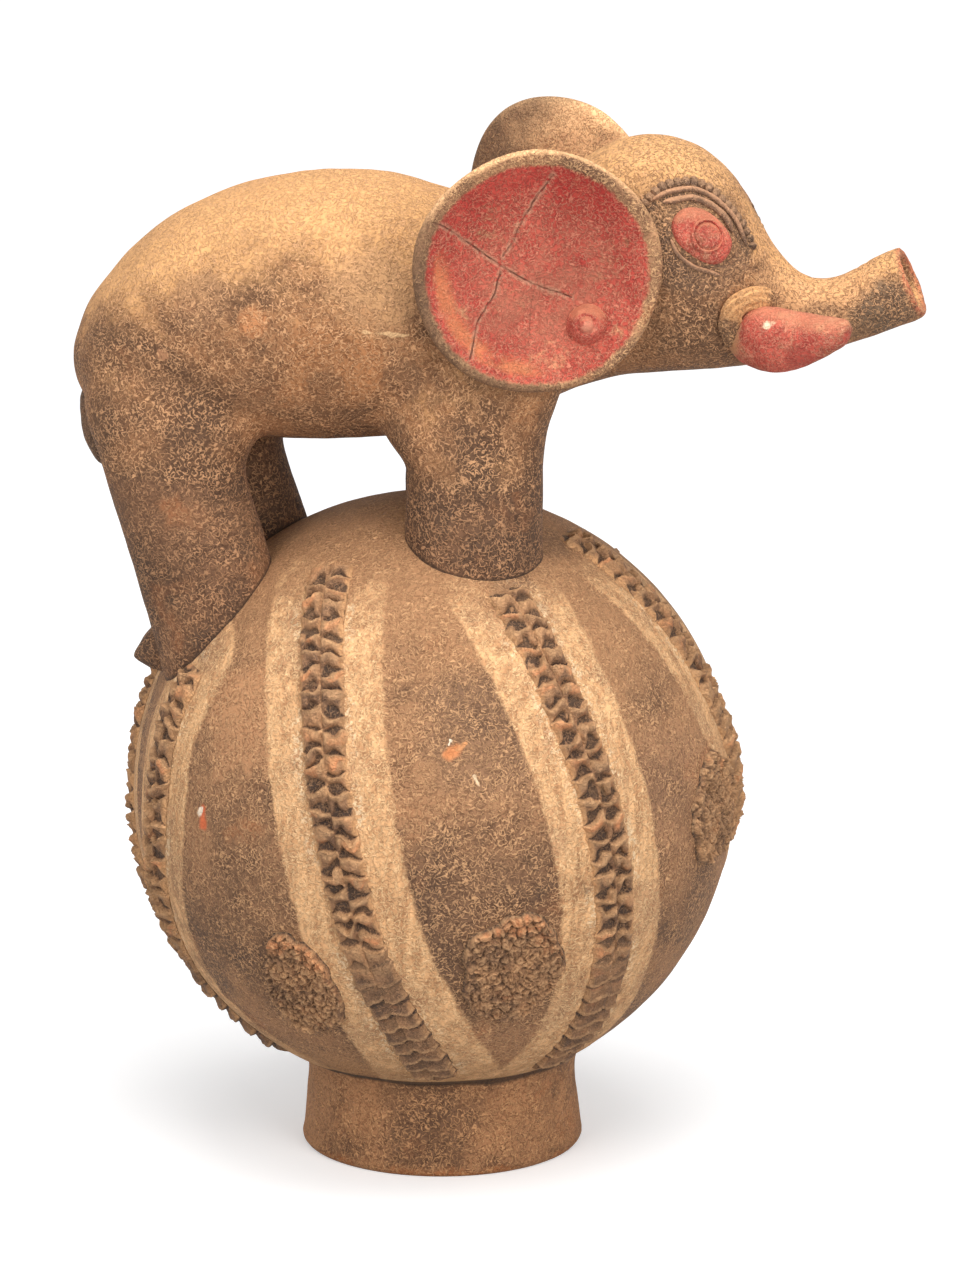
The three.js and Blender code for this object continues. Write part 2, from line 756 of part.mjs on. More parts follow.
/** Low oval patch with an uneven outline, pressed on the globe. */
function roundel([longitude, latitude, halfWidth, halfHeight, seed]) {
  const patch = new THREE.SphereGeometry(1, 16, 6);
  patch.rotateX(Math.PI / 2);
  const position = patch.attributes.position;
  const middle = globeCentre;
  const out = onGlobe(longitude, latitude, 0).sub(middle).normalize();
  const across = new THREE.Vector3().crossVectors(up, out).normalize();
  const rise = new THREE.Vector3().crossVectors(out, across);
  for (let i = 0; i < position.count; i += 1) {
    const x = position.getX(i);
    const y = position.getY(i);
    const angle = Math.atan2(y, x);
    const uneven = 1 + 0.05 * Math.sin(3 * angle + seed) + 0.04 * Math.sin(5 * angle + 2 * seed);
    const edge = Math.hypot(x, y) > 0.95;
    const top = edge ? roundelEdge : roundelRise;
    const lift = position.getZ(i) > -1e-6 ? top : lute;
    const spot = out.clone().multiplyScalar(globeRadius)
      .addScaledVector(across, x * halfWidth * uneven)
      .addScaledVector(rise, y * halfHeight * uneven)
      .setLength(globeRadius + lift)
      .add(middle);
    position.setXYZ(i, spot.x, spot.y, spot.z);
  }
  return solid(patch);
}
roundels.forEach((place, index) => addPiece(`roundel_${index + 1}`, roundel(place), darkClay));

// Centre the vessel on its resting face
const bounds = new THREE.Box3().setFromObject(vessel);
vessel.position.set(
  -(bounds.min.x + bounds.max.x) / 2, -(bounds.min.y + bounds.max.y) / 2, -bounds.min.z);
vessel.updateMatrixWorld(true);

export default vessel;
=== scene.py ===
"""Figural terracotta vessel: a hollow elephant on a ribbed globe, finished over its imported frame."""

import math
import random

import bmesh
import bpy
from mathutils import Matrix, Vector, noise
from mathutils.bvhtree import BVHTree
from mathutils.kdtree import KDTree


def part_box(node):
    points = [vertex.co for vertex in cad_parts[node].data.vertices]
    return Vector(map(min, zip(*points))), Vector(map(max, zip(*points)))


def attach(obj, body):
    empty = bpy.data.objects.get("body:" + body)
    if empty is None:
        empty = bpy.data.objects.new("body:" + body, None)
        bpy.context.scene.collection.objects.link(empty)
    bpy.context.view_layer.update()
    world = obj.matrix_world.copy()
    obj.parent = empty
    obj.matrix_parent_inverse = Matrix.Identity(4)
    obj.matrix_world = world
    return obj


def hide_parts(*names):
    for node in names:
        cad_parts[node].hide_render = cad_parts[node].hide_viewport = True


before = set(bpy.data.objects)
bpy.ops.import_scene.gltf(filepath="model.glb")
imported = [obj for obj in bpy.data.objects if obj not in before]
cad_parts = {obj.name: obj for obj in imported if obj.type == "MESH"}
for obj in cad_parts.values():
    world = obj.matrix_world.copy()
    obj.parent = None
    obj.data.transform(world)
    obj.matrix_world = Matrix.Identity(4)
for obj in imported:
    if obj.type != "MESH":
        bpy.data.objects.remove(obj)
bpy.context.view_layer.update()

# The vessel's own measure: millimetres forward, to the left and above the ground, taken from the
# globe, whose middle lies a little behind the elephant's
MM = 0.001
GLOBE_FORWARD = -2
globe_low, globe_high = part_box("globe")
GLOBE_MIDDLE = (globe_low + globe_high) / 2
GLOBE_RADIUS = (globe_high.x - globe_low.x) / 2 / MM
ORIGIN = Vector((GLOBE_MIDDLE.x - GLOBE_FORWARD * MM, GLOBE_MIDDLE.y, 0))
UP = Vector((0, 0, 1))
FORWARD = Vector((1, 0, 0))
RIGHT, LEFT = -1, 1
SIDES = {RIGHT: "right", LEFT: "left"}

# Light: the floor's glow near the vessel and far from it, and its shades
FLOOR_GLOW = 0.3
FAR_GLOW = 0.6
FLOOR_SHADE = (0.86, 0.87, 0.89, 1)
FLOOR_DIM = (0.42, 0.42, 0.42, 1)
LAMP_TINT = (1, 0.98, 0.95)
# Lamps: name, place, size in metres, power in watts
LAMPS = [
    ("overhead", (200, -400, 2300), 1.6, 35), ("left_fill", (-1300, -2200, 1300), 1.5, 28),
    ("right_fill", (1900, -2100, 1200), 1.6, 50),
]

# Camera
CAMERA_SPOT = (674.99, -4802.8, 1610)
CAMERA_TURN = 7.7233
CAMERA_DIP = 15.2478
CAMERA_LENS = 254.67
CAMERA_SENSOR = 36

# Clay thickness and joint planes
WALL = 8.5
GLOBE_WALL = 9
GLOBE_INSET = 0.4
LEG_JOINT = 392
NECK_FORWARD = 82
WAIST_FORWARD = -50
TRUNK_ROW = 19
MOUTH_ROW = 23

# Creases round the trunk: row of the outline, and the turns in degrees between which each runs
TRUNK_CREASES = [(21.35, -150, 60), (21.7, -120, 20), (22.1, -160, -40), (19.6, -100, 40)]

# Half sizes of the flare inside the trunk's mouth: up, across and into the trunk
MOUTH_FLARE = (15, 14, 16)

# Fineness of the modelled skins
SKIN_STEP = 1.9 * MM
HOLLOW_STEP = 4 * MM
FINE_STEPS = 400
LINE_STEPS = 240
LINE_POINTS = 60
SHARP_ANGLE = 55

# Where the legs' joints are smoothed: lowest and highest place, and foremost one; the depth of the
# smoothed lip behind the mouth; width and depth of the creases
JOINT_LOW, JOINT_HIGH, JOINT_FRONT = 396, 450, 96
LIP_DEPTH = 7
CREASE_WIDTH, CREASE_DEPTH = 1.5, 0.55

# Outline of the elephant from rump to trunk tip:
# top forward, top height, underside forward, underside height, half width
OUTLINE = [
    (-203.5, 446, -203.5, 446, 0), (-200.5, 458.5, -200.5, 434, 17),
    (-194.5, 474, -194, 421, 33), (-184, 489.5, -184, 410.5, 47),
    (-166, 510, -166, 404.5, 59), (-141, 528.5, -140, 402.5, 67),
    (-105, 544, -108, 402.5, 72), (-65, 551.5, -70, 403, 74),
    (-30, 551.5, -35, 405, 73), (0, 544.5, 0, 409, 69),
    (28, 538.5, 30, 416, 63), (52, 544, 58, 427, 58),
    (76, 560, 82, 438, 55.5), (98, 573, 104, 444, 55),
    (120, 577, 126, 446.5, 55), (143, 571, 147, 448.5, 52.5),
    (160.5, 557.5, 164, 450.5, 47), (173, 538, 178, 452.5, 39),
    (185.5, 516.5, 191, 455, 30.5), (198, 503, 204, 457.5, 24),
    (212, 499.5, 219, 462, 20.5), (226, 504, 235, 467.5, 19.5),
    (240, 512.5, 251, 473.5, 19.5), (254.5, 520, 271, 481.5, 21),
    (267, 526, 284, 488, 21), (276, 508, 276, 508, 0),
]

# Legs from the bottom up: height, back, front, outer face, inner face
REAR_LEG = [
    (238, -111, -79, 52, 28), (248, -134, -60, 68, 12), (275, -146.5, -67, 72, 10),
    (310, -155.5, -77.5, 72, 10), (345, -166, -88, 71.5, 9), (375, -175.5, -97.5, 70.5, 8),
    (392, -181, -101, 70, 7), (404, -185.5, -97, 69.5, 3), (418, -190.5, -90, 69, -3),
    (438, -190, -98, 66, 4), (456, -178, -116, 60, 14), (470, -148, -146, 37, 35),
]
FRONT_LEG = [
    (300, 12, 42, 58, 30), (310, -6, 60, 77, 10), (335, -11.5, 64.5, 81, 7),
    (365, -11.5, 64, 81, 7), (392, -10.5, 64, 79.5, 6), (402, -12.5, 64, 79, 4),
    (417, -25, 65, 76.5, -4), (432, -25, 70, 74, -2), (446, -20, 74, 71, 4),
    (464, -12, 70, 67.5, 12), (482, 8, 52, 61, 26), (492, 29, 31, 44, 42),
]
# Leg: rows, side, how far it stands forward of its twin on the right
LEGS = {
    "leg_rear_right": (REAR_LEG, RIGHT, 0),
    "leg_rear_left": (REAR_LEG, LEFT, 8),
    "leg_front_right": (FRONT_LEG, RIGHT, 0),
    "leg_front_left": (FRONT_LEG, LEFT, -12.5),
}

# Tail drop: forward, height, radius
TAIL = [(-182, 440, 0), (-188.5, 432, 6), (-192, 421, 7.5), (-192, 408, 7.5), (-190, 396, 7),
        (-186.5, 386, 5.5), (-185, 380.5, 0)]

# Tusk from root to tip: forward, out, height, half height, half width
TUSK = [(160, 26, 477, 0, 0), (167, 30, 475.5, 11.5, 10), (178, 37, 475, 16.5, 13),
        (191, 42, 475, 18, 13.5), (204, 45, 476, 15.6, 13), (216, 47, 478.2, 12, 11),
        (225, 48, 480.5, 9, 9), (231, 48.5, 482.3, 5.8, 5.5), (234, 48.5, 483.5, 0, 0)]

# Ears: middle of the rim, turn about the upright, squeeze and roll of the outline
EAR_RADIUS = 67
EAR_DISH = 12
EAR_WALL = 9
EAR_TILT = 4
EARS = {
    RIGHT: dict(middle=(65, 74, 516), turn=12, squeeze=1, roll=0),
    LEFT: dict(middle=(61.5, 77.5, 516.5), turn=22, squeeze=0.9, roll=-8),
}
BOSS_FORWARD = 0.418
BOSS_DROP = 0.448
BOSS_RADIUS = 10.5
BOSS_DEPTH = 0.62 * EAR_DISH

# Head features as (forward, roll): roll is the angle above the level of the head's core line
HEAD_CORE = 505
EYE_REAR, EYE_FRONT, EYE_MIDDLE = (134.6, 40.4), (166, 16.7), (151, 30.5)
EYE_SIZE = (21.5, 13.5, 6.5)
EYE_SINK = 2
FAR_TUSK_DROP = 4
PUPIL_SPOT = (152.8, 30.5)
PUPIL_RADIUS = 9.7
BROW_OUTER = [(122, 45.5), (131, 51), (142, 55.3), (149.5, 56.3), (158, 55), (167, 49.5),
              (173.5, 32)]
BROW_INNER = [(129, 45.5), (138.7, 48.8), (144.6, 50.8), (153.7, 50.4), (161.4, 46.8),
              (166.3, 38.5)]
BROW_NOTCHES = [(118, 43), (129, 54), (141.5, 59.5), (150, 61), (159, 58.5), (168, 54), (174, 45),
                (177, 31)]
LID = [(134.5, 27.5), (138.5, 19.5), (147, 12.8), (154.8, 10), (161.5, 7)]
FOLD = [(171, -46), (167, -33), (166, -23), (168.5, -15), (175, -12), (182, -15.5), (189, -27)]
CHEEK_CREASES = [[(176, 8), (184, 1), (190, -6)], [(171, 13), (181, 7), (190, 2)],
                 [(168, 3), (176, -3), (184, -9)]]
OUTER_BROW_RADIUS = 1.6
INNER_BROW_RADIUS = 1.9
LID_RADIUS = 1.2
FOLD_RADIUS = 6.2
NOTCH_PITCH = 4.7
FAR_NOTCH_SHARE = 0.4

# Ribs: centre lines as (longitude, latitude); longitude 0 is the elephant's right, 90 its front
RIBS = [
    [(-92, 24), (-87, 12), (-83, 0), (-81, -25), (-79, -57)],
    [(-58, 31), (-59, 18), (-58, 0), (-64, -26), (-65, -41), (-55, -57)],
    [(-33, 60.5), (-26, 50), (-18, 34), (-11, 8), (-4, -22), (9, -57)],
    [(32, 55.5), (37, 31), (42, 5), (47, -27), (50, -57)],
    [(86, 64), (84.5, 52), (85, 40), (87, 22), (93, 6), (96, 0), (103, -8), (110, -14), (118, -30),
     (128, -57)],
    [(136, 46), (135, 28), (139, 5), (146, -25), (153, -57)],
    [(166, 50), (171, 28), (179, 3), (186, -25), (194, -57)],
    [(208, 46), (214, 26), (222, 2), (229, -25), (237, -57)],
]
RIB_WIDTH = 27
RIB_CREST = 5.2
PINCH_PITCH = 11
# Shares of a rib's length between which its hollows grow jagged, and its scales turn to laps
JAGGED = (0.25, 0.4)
LAPPED = (0.6, 0.78)
# How far, in scales, the left row lies below the right one, as seen on the way down; how far down a
# scale its hollow ends; height of the clay between the two rows, as a share of a crest's
ROW_SHIFT = 0.45
HOLLOW_END = 0.86
MIDDLE_HEIGHT = 0.45
# Outer edges of the slip bands from a rib's middle, left and right of it on the way down
BAND_EDGES = [(31, 31), (31, 28), (34, 34), (33, 33), (36, 33), (33, 33), (33, 33), (33, 33)]

# Roundels: longitude, latitude, half width, half height, outline seed
ROUNDELS = [
    (23.7, -21, 29, 36, 1), (-21, -27, 23, 37, 2), (76.5, 2, 32, 31, 3),
    (130, -12, 24, 34, 4), (165, -22, 26, 35, 5), (208, -18, 29, 33, 6),
]
OPEN_ROUNDEL = 2
TORN_ROUNDEL = 0
# Bumps of the torn one's edge: rise, middle and width, the last two as angles
TORN_EDGE = [(0.07, 2.75, 0.28), (-0.1, 2.2, 0.22), (0.09, 1.35, 0.4), (0.05, 0.85, 0.2)]
ROUNDEL_RISE = 1.33

# Foot ring
FOOT_FORWARD = 2
FOOT_PROFILE = [(64.5, 0), (75.5, 0), (77.7, 1), (78.5, 3.5), (77.6, 9), (75.5, 28), (74.5, 42),
                (76, 50), (79.5, 57)]
FOOT_INNER = [(61, 62), (63, 2)]


def at(forward, left, height):
    """Point of the vessel, in metres, from its own measure."""
    return ORIGIN + Vector((forward, left, height)) * MM


def clamp(value, low=0, high=1):
    return min(max(value, low), high)


def spline(values, share):
    """Value at a share of a smooth line through values."""
    last = len(values) - 1
    place = clamp(share) * last
    i = min(int(place), last - 1)
    f = place - i
    a, b = values[i], values[i + 1]
    before = values[i - 1] if i > 0 else 2 * a - b
    after = values[i + 2] if i + 2 <= last else 2 * b - a
    return 0.5 * (2 * a + (b - before) * f + (2 * before - 5 * a + 4 * b - after) * f * f
                  + (3 * a - before - 3 * b + after) * f * f * f)


def even_line(points, count):
    """Points at even steps along a smooth line, and its length."""
    fine = [spline(points, i / FINE_STEPS) for i in range(FINE_STEPS + 1)]
    run = [0]
    for a, b in zip(fine, fine[1:]):
        run.append(run[-1] + (b - a).length)
    line, i = [], 0
    for k in range(count):
        want = run[-1] * k / (count - 1)
        while i < FINE_STEPS - 1 and run[i + 1] < want:
            i += 1
        share = (want - run[i]) / max(run[i + 1] - run[i], 1e-12)
        line.append(fine[i].lerp(fine[i + 1], clamp(share)))
    return line, run[-1]


def profile(rows, count, radius=1):
    """Even points of a half section, from shares of a radius and heights in millimetres."""
    return even_line([Vector((share * radius, 0, height)) * MM for share, height in rows], count)[0]


def smooth_step(value, low, high):
    share = clamp((value - low) / (high - low))
    return share * share * (3 - 2 * share)


def roughness_of(spot, size, seed=0.0):
    """Wavy value between about -1 and 1 at a spot, with waves of a size in millimetres."""
    return noise.noise(spot / (size * MM) + Vector((seed, seed * 1.7, -seed)))


# Skins


def face_outwards(bm):
    bmesh.ops.recalc_face_normals(bm, faces=bm.faces[:])
    if bm.calc_volume(signed=True) < 0:
        bmesh.ops.reverse_faces(bm, faces=bm.faces[:])


def ball(around, along, radius=1, middle=(0, 0, 0)):
    bm = bmesh.new()
    bmesh.ops.create_uvsphere(bm, u_segments=around, v_segments=along, radius=radius,
                              matrix=Matrix.Translation(middle))
    return bm


def pole_place(spot):
    """Share of the way from pole to pole of a plain ball, and the turn about its axis."""
    return math.acos(clamp(spot.z, -1, 1)) / math.pi, math.atan2(spot.y, spot.x)


def section_point(rows, share, turn):
    """Point round an oval section; each row is a centre, a reach and a half width across."""
    centre, reach, half = (spline(values, share) for values in zip(*rows))
    return centre + reach * math.cos(turn) + Vector((0, half * math.sin(turn), 0))


def loft(rows, around, along):
    """Closed skin through oval sections."""
    bm = ball(around, along)
    for vert in bm.verts:
        vert.co = section_point(rows, *pole_place(vert.co))
    face_outwards(bm)
    return bm


def turned(line, steps, closed=False):
    """Skin of a profile turned about the upright; one that isn't closed ends on the axis."""
    bm = bmesh.new()
    if not closed:
        line[0].x = line[-1].x = 0
    verts = [bm.verts.new(point) for point in line]
    following = verts[1:] + verts[:1] if closed else verts[1:]
    edges = [bm.edges.new(pair) for pair in zip(verts, following)]
    bmesh.ops.spin(bm, geom=verts + edges, cent=(0, 0, 0), axis=(0, 0, 1), angle=2 * math.pi,
                   steps=steps, use_merge=True)
    bmesh.ops.remove_doubles(bm, verts=bm.verts[:], dist=1e-6)
    face_outwards(bm)
    return bm


def upright_to(direction):
    """Turn that brings the upright to a direction."""
    return UP.rotation_difference(direction).to_matrix().to_4x4()


def facing_frame(facing, ahead):
    """Turn whose Z faces one way and whose X lies as near as it can to another."""
    across = facing.cross(ahead).normalized()
    along = across.cross(facing).normalized()
    return Matrix((along, across, facing)).transposed().to_4x4()


def smooth(bm, verts, times):
    for _ in range(times):
        bmesh.ops.smooth_vert(bm, verts=verts, factor=0.5, use_axis_x=True, use_axis_y=True,
                              use_axis_z=True)


def spot_tree(spots):
    """Search tree of spots, numbered in their order."""
    tree = KDTree(len(spots))
    for index, spot in enumerate(spots):
        tree.insert(spot, index)
    tree.balance()
    return tree


def outline_rows():
    rows = []
    for top_x, top_z, under_x, under_z, half in OUTLINE:
        centre = at((top_x + under_x) / 2, 0, (top_z + under_z) / 2)
        reach = Vector((top_x - under_x, 0, top_z - under_z)) * MM / 2
        rows.append((centre, reach, half * MM))
    return rows


def leg_rows(levels, side, shift):
    return [(at((back + front) / 2 + shift, side * (outer + inner) / 2, height),
             Vector(((back - front) * MM / 2, 0, 0)), (outer - inner) * MM / 2)
            for height, back, front, outer, inner in levels]


def shrink(bm, distance):
    """Moves a skin inwards along its own normals."""
    bm.normal_update()
    moved = [vert.co - vert.normal * distance for vert in bm.verts]
    for vert, place in zip(bm.verts, moved):
        vert.co = place


def mesh_of(name, bm):
    """Mesh that takes over a bmesh."""
    mesh = bpy.data.meshes.new(name)
    bm.to_mesh(mesh)
    bm.free()
    return mesh


def placed(name, data):
    """Object in the scene that holds a mesh, a light or a camera."""
    thing = bpy.data.objects.new(name, data)
    bpy.context.scene.collection.objects.link(thing)
    return thing


def joined(parts):
    """One bmesh that holds several."""
    whole = bmesh.new()
    for part in parts:
        mesh = mesh_of("part", part)
        whole.from_mesh(mesh)
        bpy.data.meshes.remove(mesh)
    return whole


def working_object(bm):
    """Throwaway object that lends a bmesh to a modifier."""
    return placed("working", mesh_of("working", bm))


def discard(thing):
    mesh = thing.data
    bpy.data.objects.remove(thing)
    bpy.data.meshes.remove(mesh)


def modified(bm, kind, **settings):
    """The bmesh after one modifier."""
    thing = working_object(bm)
    modifier = thing.modifiers.new(kind, kind)
    for name, value in settings.items():
        setattr(modifier, name, value)
    bpy.context.view_layer.update()
    result = bmesh.new()
    result.from_object(thing, bpy.context.evaluated_depsgraph_get())
    discard(thing)
    return result


def carved(bm, tool):
    """The bmesh with a working object cut away."""
    return modified(bm, "BOOLEAN", object=tool, operation="DIFFERENCE", solver="MANIFOLD")


def keep_side(bm, point, normal):
    """Takes away what lies past a plane and closes the cut."""
    everything = bm.verts[:] + bm.edges[:] + bm.faces[:]
    cut = bmesh.ops.bisect_plane(bm, geom=everything, dist=1e-7, plane_co=point,
                                 plane_no=normal, clear_outer=True)
    rim = [item for item in cut["geom_cut"] if isinstance(item, bmesh.types.BMEdge)]
    bmesh.ops.triangle_fill(bm, edges=rim, use_beauty=True, normal=normal)


def cut_out(bm, *planes):
    """Copy of a bmesh, cut off past each plane, given as a point and the way out."""
    part = bm.copy()
    for point, outwards in planes:
        keep_side(part, point, outwards)
    return part


def keep_wanted(bm, wanted):
    """Keeps the loose shells whose every point is wanted."""
    gone = [vert for vert in bm.verts if not wanted(vert.co)]
    bmesh.ops.delete(bm, geom=gone, context="VERTS")


def row_plane(index):
    top_x, top_z, under_x, under_z, _ = OUTLINE[index]
    down = Vector((under_x - top_x, 0, under_z - top_z)).normalized()
    return at((top_x + under_x) / 2, 0, (top_z + under_z) / 2), Vector((-down.z, 0, down.x))


def weather(bm, waves, seed=0.0):
    """Handmade unevenness: waves is a list of (size, height) in millimetres."""
    bm.normal_update()
    shift = []
    for vert in bm.verts:
        rise = sum(height * roughness_of(vert.co, size, seed + size) for size, height in waves)
        shift.append(vert.normal * rise * MM)
    for vert, move in zip(bm.verts, shift):
        vert.co += move


def press_grooves(bm, lines, width, depth):
    """Presses grooves along lines of points into a skin; width and depth in millimetres."""
    tree = spot_tree([spot for line in lines for spot in line])
    bm.normal_update()
    for vert in bm.verts:
        gap = tree.find(vert.co)[2] / MM
        if gap < 3 * width:
            wander = 0.7 + 0.3 * roughness_of(vert.co, 9)
            vert.co -= vert.normal * depth * MM * wander * math.exp(-(gap / width) ** 2)


# The elephant's skin and the hollow inside the vessel


def head_surface():
    """Smooth skin of head and trunk, to seat small pieces on."""
    bm = loft(outline_rows(), 64, 128)
    tree = BVHTree.FromBMesh(bm)
    bm.free()
    return tree


HEAD_SURFACE = head_surface()


def seat(place, side):
    """Spot on the head and the direction that its surface faces."""
    forward, roll = place
    angle = math.radians(roll)
    out = Vector((0, side * math.cos(angle), math.sin(angle)))
    start = at(forward, 0, HEAD_CORE) + out * 0.15
    spot, normal, _, _ = HEAD_SURFACE.ray_cast(start, -out)
    return spot, normal if normal.dot(out) > 0 else -normal


def elephant_skin():
    """Body, head, trunk and legs as one fair skin with soft joints."""
    mouth, facing = row_plane(MOUTH_ROW)
    body = loft(outline_rows(), 96, 150)
    keep_side(body, mouth, facing)
    flare = ball(48, 32)
    for vert in flare.verts:
        vert.co = Vector([half * share for half, share in zip(MOUTH_FLARE, vert.co)]) * MM
    flare.transform(Matrix.Translation(mouth) @ upright_to(facing))
    flare_tool = working_object(flare)
    parts = [carved(body, flare_tool)]
    discard(flare_tool)
    parts += [loft(leg_rows(*leg), 64, 60) for leg in LEGS.values()]
    bm = modified(joined(parts), "REMESH", mode="VOXEL", voxel_size=SKIN_STEP)
    low, high, front = at(0, 0, JOINT_LOW).z, at(0, 0, JOINT_HIGH).z, at(JOINT_FRONT, 0, 0).x
    smooth(bm, [vert for vert in bm.verts if low < vert.co.z < high and vert.co.x < front], 22)
    smooth(bm, bm.verts[:], 3)
    lip = [vert for vert in bm.verts if abs((vert.co - mouth).dot(facing)) < LIP_DEPTH * MM]
    smooth(bm, lip, 9)
    weather(bm, [(55, 0.9), (22, 0.45), (9, 0.22)])
    press_grooves(bm, skin_grooves(), CREASE_WIDTH, CREASE_DEPTH)
    return bm


def ring_line(row, start, stop):
    """Line round the trunk at a row of the outline, between two turns in degrees."""
    rows = outline_rows()
    share = row / (len(OUTLINE) - 1)
    turns = [math.radians(start + (stop - start) * step / (LINE_POINTS - 1))
             for step in range(LINE_POINTS)]
    return [section_point(rows, share, turn) for turn in turns]


def head_line(places, side):
    return even_line([seat(place, side)[0] for place in places], LINE_POINTS)[0]


def skin_grooves():
    """Creases that are pressed into the skin round the trunk and on the cheeks."""
    lines = [ring_line(*crease) for crease in TRUNK_CREASES]
    lines += [head_line(crease, side) for side in SIDES for crease in CHEEK_CREASES]
    return lines


def hollow_shape():
    """The one hollow of trunk, head, body, legs and globe."""
    parts = [loft(outline_rows(), 32, 60)]
    parts += [loft(leg_rows(*leg), 24, 24) for leg in LEGS.values()]
    for part in parts:
        shrink(part, WALL * MM)
    chamber = bmesh.new()
    bmesh.ops.create_icosphere(chamber, subdivisions=5, matrix=Matrix.Translation(GLOBE_MIDDLE),
                               radius=(GLOBE_RADIUS - GLOBE_WALL) * MM)
    bm = modified(joined([*parts, chamber]), "REMESH", mode="VOXEL", voxel_size=HOLLOW_STEP)
    smooth(bm, bm.verts[:], 2)
    return bm


# Ribs, slip bands and roundels on the globe


def globe_direction(longitude, latitude):
    lon, lat = math.radians(longitude), math.radians(latitude)
    return Vector((math.cos(lat) * math.sin(lon), -math.cos(lat) * math.cos(lon), math.sin(lat)))


class RibLine:
    """Centre line of a rib on the globe, at even steps from its upper end."""

    def __init__(self, places):
        flat = [Vector((longitude, latitude, 0)) for longitude, latitude in places]
        even, _ = even_line(flat, LINE_STEPS + 1)
        spots = [globe_direction(place.x, place.y) * GLOBE_RADIUS * MM for place in even]
        spots, self.length = even_line(spots, LINE_STEPS + 1)
        self.spots = [spot.normalized() * GLOBE_RADIUS * MM for spot in spots]

    def frame(self, share):
        """Outward and sideways directions at a share of the rib."""
        place = clamp(share) * LINE_STEPS
        i = min(int(place), LINE_STEPS - 1)
        out = self.spots[i].lerp(self.spots[i + 1], place - i).normalized()
        low, high = max(i - 2, 0), min(i + 3, LINE_STEPS)
        along = (self.spots[high] - self.spots[low]).normalized()
        return out, along.cross(out).normalized()


RIB_LINES = [RibLine(places) for places in RIBS]


def scale_table(rib_index, rows):
    """Shape, wear and soot of each pinched scale, left and right, the same on every run."""
    draw = random.Random(100 + rib_index)
    return [[dict(height=draw.uniform(0.75, 1.12), slip=draw.uniform(-0.14, 0.14),
                  lean=draw.uniform(-0.2, 0.2), arch=draw.uniform(0.32, 0.62),
                  peak=draw.uniform(-0.45, 0.3), wear=draw.random(), soot=draw.random())
             for _ in (0, 1)]
            for _ in range(rows + 3)]


def pinched_rib(rib_index):
    """Rib pinched up in two rows of crests, each above a hollow, flattened to laps near the foot."""
    line = RIB_LINES[rib_index]
    rows = max(6, round(line.length / (PINCH_PITCH * MM)))
    table = scale_table(rib_index, rows)
    top_count, under_count = 52, 4
    around, along = top_count + under_count, rows * 18
    bm = bmesh.new()
    # Tints: worn clay, soot and painted shade, painted highlight on the crests, and slip
    layers = [bm.verts.layers.float.new(name) for name in ("worn", "shade", "crest", "slip")]
    grid = bmesh.ops.create_grid(bm, x_segments=around, y_segments=along, size=1)
    for vert in grid["verts"]:
        column = (vert.co.x + 1) / 2 * around
        share = (vert.co.y + 1) / 2
        under = column > top_count
        a = 2 * column / top_count - 1 if not under else 1 - 2 * (column - top_count) / under_count
        height, jut, tints = scale_shape(table, a, share, rows)
        ends = smooth_step(min(share, 1 - share), 0, 0.6 / rows)
        out, side = line.frame(share)
        width = RIB_WIDTH / 2 * (0.8 + 0.2 * ends) * (0.92 + 0.13 * jut)
        width += 0.8 * roughness_of(out * GLOBE_RADIUS * MM, 16, rib_index)
        spot = out * GLOBE_RADIUS * MM + side * a * width * MM
        rough = 0.5 * roughness_of(spot, 4, rib_index) + 0.35 * roughness_of(spot, 2, rib_index)
        lift = -1.2 if under else 0.3 + (height + rough * min(height, 1)) * ends
        vert.co = GLOBE_MIDDLE + spot.normalized() * (GLOBE_RADIUS + lift) * MM
        for layer, tint in zip(layers, tints):
            vert[layer] = tint
    bmesh.ops.remove_doubles(bm, verts=bm.verts[:], dist=1e-6)
    rims = [edge for edge in bm.edges if edge.is_boundary]
    bmesh.ops.holes_fill(bm, edges=rims, sides=0)
    face_outwards(bm)
    return bm


def scale_shape(table, a, share, rows):
    """Height, sideways jut and tints of the pinched clay at a place across and along a rib."""
    local = (abs(a) - 0.5) / 0.5
    lapped = smooth_step(share, *LAPPED)
    jagged = smooth_step(share, *JAGGED) * (1 - lapped)
    scale, fall = scale_place(table, a, local, lapped, share, rows)
    tall = hollow_size(scale, local, jagged)
    height = scale_height(scale, a, local, lapped, fall, tall)
    jut = (2 * fall - 1) ** 2 * (0.6 + 0.5 * scale["soot"])
    worn, shade, crest = scale_tints(scale, local, lapped, fall, tall)
    smear = smooth_step(abs(a) - 0.1 * jut, 0.76, 0.9) * (1 - shade)
    return height, jut, (worn, shade, crest, smear)


def scale_place(table, a, local, lapped, share, rows):
    """The scale at a place on a rib, and how far down the scale the place lies, from 0 to 1."""
    lobe = 0 if a < 0 else 1
    bow = 0.1 * (1 - lapped) * (1 - local * local)
    bow += lapped * (0.09 * (1 - local * local) - 0.16 * math.exp(-(a / 0.2) ** 2))
    spot = Vector((a * RIB_WIDTH / 2, share * rows * PINCH_PITCH, 90 * table[0][0]["arch"]))
    bow += (0.42 - 0.25 * lapped) * roughness_of(spot * MM, 7, 3)
    place = share * rows + ROW_SHIFT * (1 - lapped) * lobe - bow + 1
    row = min(int(place), len(table) - 2)
    here, there = table[row][lobe], table[row + 1][lobe]
    on = place - row
    slip, lean = (here[word] + (there[word] - here[word]) * on for word in ("slip", "lean"))
    place += (slip + lean * local) * (1 - 0.6 * lapped)
    return table[clamp(int(place), 0, len(table) - 1)][lobe], place - math.floor(place)


